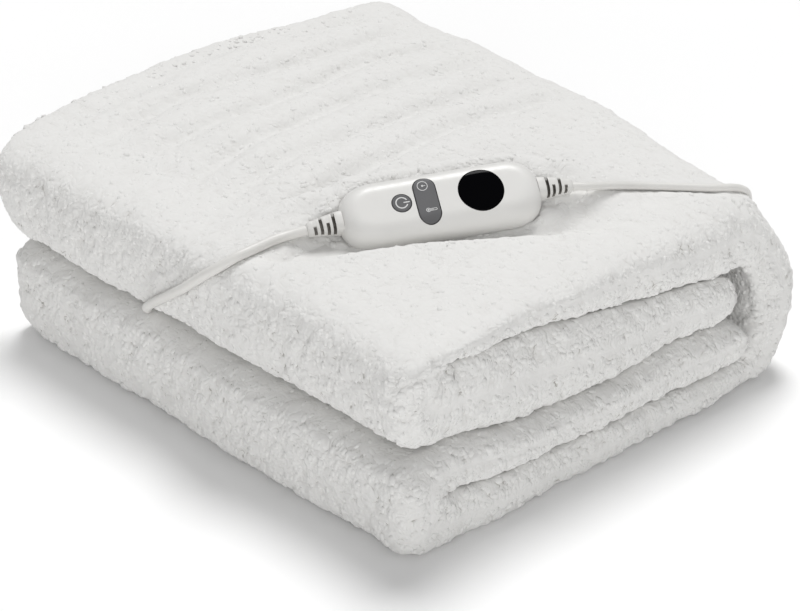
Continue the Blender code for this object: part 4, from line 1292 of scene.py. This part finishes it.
cloth_mesh.update()

# Each region's name, its curds' spacing and the height of their middles over the cloth, in mm.
PILE_REGIONS = (("top", 3.2, -1.08), ("front", 2.5, -0.92), ("back", 3.0, -0.85))
CURDS_PER_M2 = 150000.0           # before those that stand too close are left out
CURD_SIZE = (2.2 * MM, 1.35 * MM, 3.3 * MM)


def region_of(normal):
    """Number of the region that a face of the cloth is in, by the way it looks."""
    if normal.z > 0.62:
        return 0
    return 1 if normal.y < -0.2 or normal.x > 0.5 else 2


faces_region = cloth_mesh.attributes.new("region", "INT", "FACE")
for face in cloth_mesh.polygons:
    faces_region.data[face.index].value = region_of(face.normal)


def growth(tree, kind, settings, sockets):
    """Adds one geometry node, with its settings first and then its sockets' values or links."""
    node = tree.nodes.new(kind)
    for name, value in settings.items():
        setattr(node, name, value)
    for name, value in sockets.items():
        if isinstance(value, bpy.types.NodeSocket):
            tree.links.new(value, node.inputs[name])
        else:
            node.inputs[name].default_value = value
    return node


fibre = Finish("plush fibre", 0.9, Specular_IOR_Level=0.05, Sheen_Weight=0.15, Sheen_Roughness=0.6)
fibre.clouded(60.0, (0.775, 0.77, 0.755), (0.80, 0.795, 0.78))
fibre.relief(fibre.grain(fibre.place(), 800.0, 3.0, 0.65), 0.0008, 0.5)
pile = bpy.data.node_groups.new("plush pile", "GeometryNodeTree")
pile.interface.new_socket("Cloth", in_out="INPUT", socket_type="NodeSocketGeometry")
for label, kind in (("Region", "Int"), ("Curds per m2", "Float"), ("Spacing", "Float"),
                    ("Curd size", "Vector"), ("Sink", "Float"), ("Seed", "Int")):
    pile.interface.new_socket(label, in_out="INPUT", socket_type="NodeSocket" + kind)
pile.interface.new_socket("Pile", in_out="OUTPUT", socket_type="NodeSocketGeometry")
given = pile.nodes.new("NodeGroupInput").outputs
region_read = growth(pile, "GeometryNodeInputNamedAttribute", {"data_type": "INT"}, {"Name": "region"})
pile_read = growth(pile, "GeometryNodeInputNamedAttribute", {"data_type": "FLOAT"}, {"Name": "pile"})
chosen = growth(pile, "FunctionNodeCompare", {"data_type": "INT", "operation": "EQUAL"}, {
    2: region_read.outputs["Attribute"], 3: given["Region"]})
scattered = growth(pile, "GeometryNodeDistributePointsOnFaces", {"distribute_method": "POISSON"}, {
    "Mesh": given["Cloth"], "Selection": chosen.outputs["Result"], "Distance Min": given["Spacing"],
    "Density Max": given["Curds per m2"], "Density Factor": pile_read.outputs["Attribute"],
    "Seed": given["Seed"]})
place_read = growth(pile, "GeometryNodeInputPosition", {}, {})
flow = growth(pile, "ShaderNodeTexNoise", {}, {
    "Vector": place_read.outputs["Position"], "Scale": 55.0, "Detail": 2.0})
flow = growth(pile, "ShaderNodeVectorMath", {"operation": "SUBTRACT"}, {
    0: flow.outputs["Color"], 1: (0.5, 0.5, 0.5)})
turned = growth(pile, "FunctionNodeAlignRotationToVector", {"axis": "Z"}, {
    "Vector": flow.outputs["Vector"]})
turned = growth(pile, "FunctionNodeAlignRotationToVector", {"axis": "Y", "pivot_axis": "AUTO"}, {
    "Rotation": turned.outputs["Rotation"], "Vector": scattered.outputs["Normal"]})
grown = growth(pile, "FunctionNodeRandomValue", {"data_type": "FLOAT"}, {2: 0.6, 3: 1.25, "Seed": 3})
sunk = growth(pile, "ShaderNodeVectorMath", {"operation": "SCALE"}, {
    0: scattered.outputs["Normal"], "Scale": given["Sink"]})
laid = growth(pile, "GeometryNodeSetPosition", {}, {
    "Geometry": scattered.outputs["Points"], "Offset": sunk.outputs["Vector"]})
curd = growth(pile, "GeometryNodeMeshIcoSphere", {}, {"Radius": 1.0, "Subdivisions": 1})
curd = growth(pile, "GeometryNodeTransform", {}, {
    "Geometry": curd.outputs["Mesh"], "Scale": given["Curd size"]})
planted = growth(pile, "GeometryNodeInstanceOnPoints", {}, {
    "Points": laid.outputs["Geometry"], "Instance": curd.outputs["Geometry"],
    "Rotation": turned.outputs["Rotation"], "Scale": grown.outputs[1]})
real = growth(pile, "GeometryNodeRealizeInstances", {}, {"Geometry": planted.outputs["Instances"]})
smooth = growth(pile, "GeometryNodeSetShadeSmooth", {}, {"Geometry": real.outputs["Geometry"]})
coated = growth(pile, "GeometryNodeSetMaterial", {}, {
    "Geometry": smooth.outputs["Geometry"], "Material": fibre.material})
growth(pile, "NodeGroupOutput", {}, {"Pile": coated.outputs["Geometry"]})
pile_inputs = {item.name: item.identifier for item in pile.interface.items_tree if item.in_out == "INPUT"}

blanket = add_piece("blanket_cloth", cloth_mesh)
pile_pieces = []
for number, (area, spacing, sink) in enumerate(PILE_REGIONS):
    grower = add_piece("grower", cloth_mesh)
    growing_pile = grower.modifiers.new("pile", "NODES")
    growing_pile.node_group = pile
    for label, value in (("Region", number), ("Curds per m2", CURDS_PER_M2), ("Spacing", spacing * MM),
                         ("Curd size", CURD_SIZE), ("Sink", sink * MM), ("Seed", 21 + number)):
        growing_pile[pile_inputs[label]] = value
    evaluated = grower.evaluated_get(bpy.context.evaluated_depsgraph_get())
    curds_mesh = bpy.data.meshes.new_from_object(evaluated)
    curds_mesh.name = "pile_" + area
    for v in curds_mesh.vertices:
        v.co.z = max(v.co.z, 0.0)
    bpy.data.objects.remove(grower)
    pile_pieces.append(add_piece("pile_" + area, curds_mesh))
for piece in [blanket] + pile_pieces:
    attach(piece, "bundle")
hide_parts("blanket")
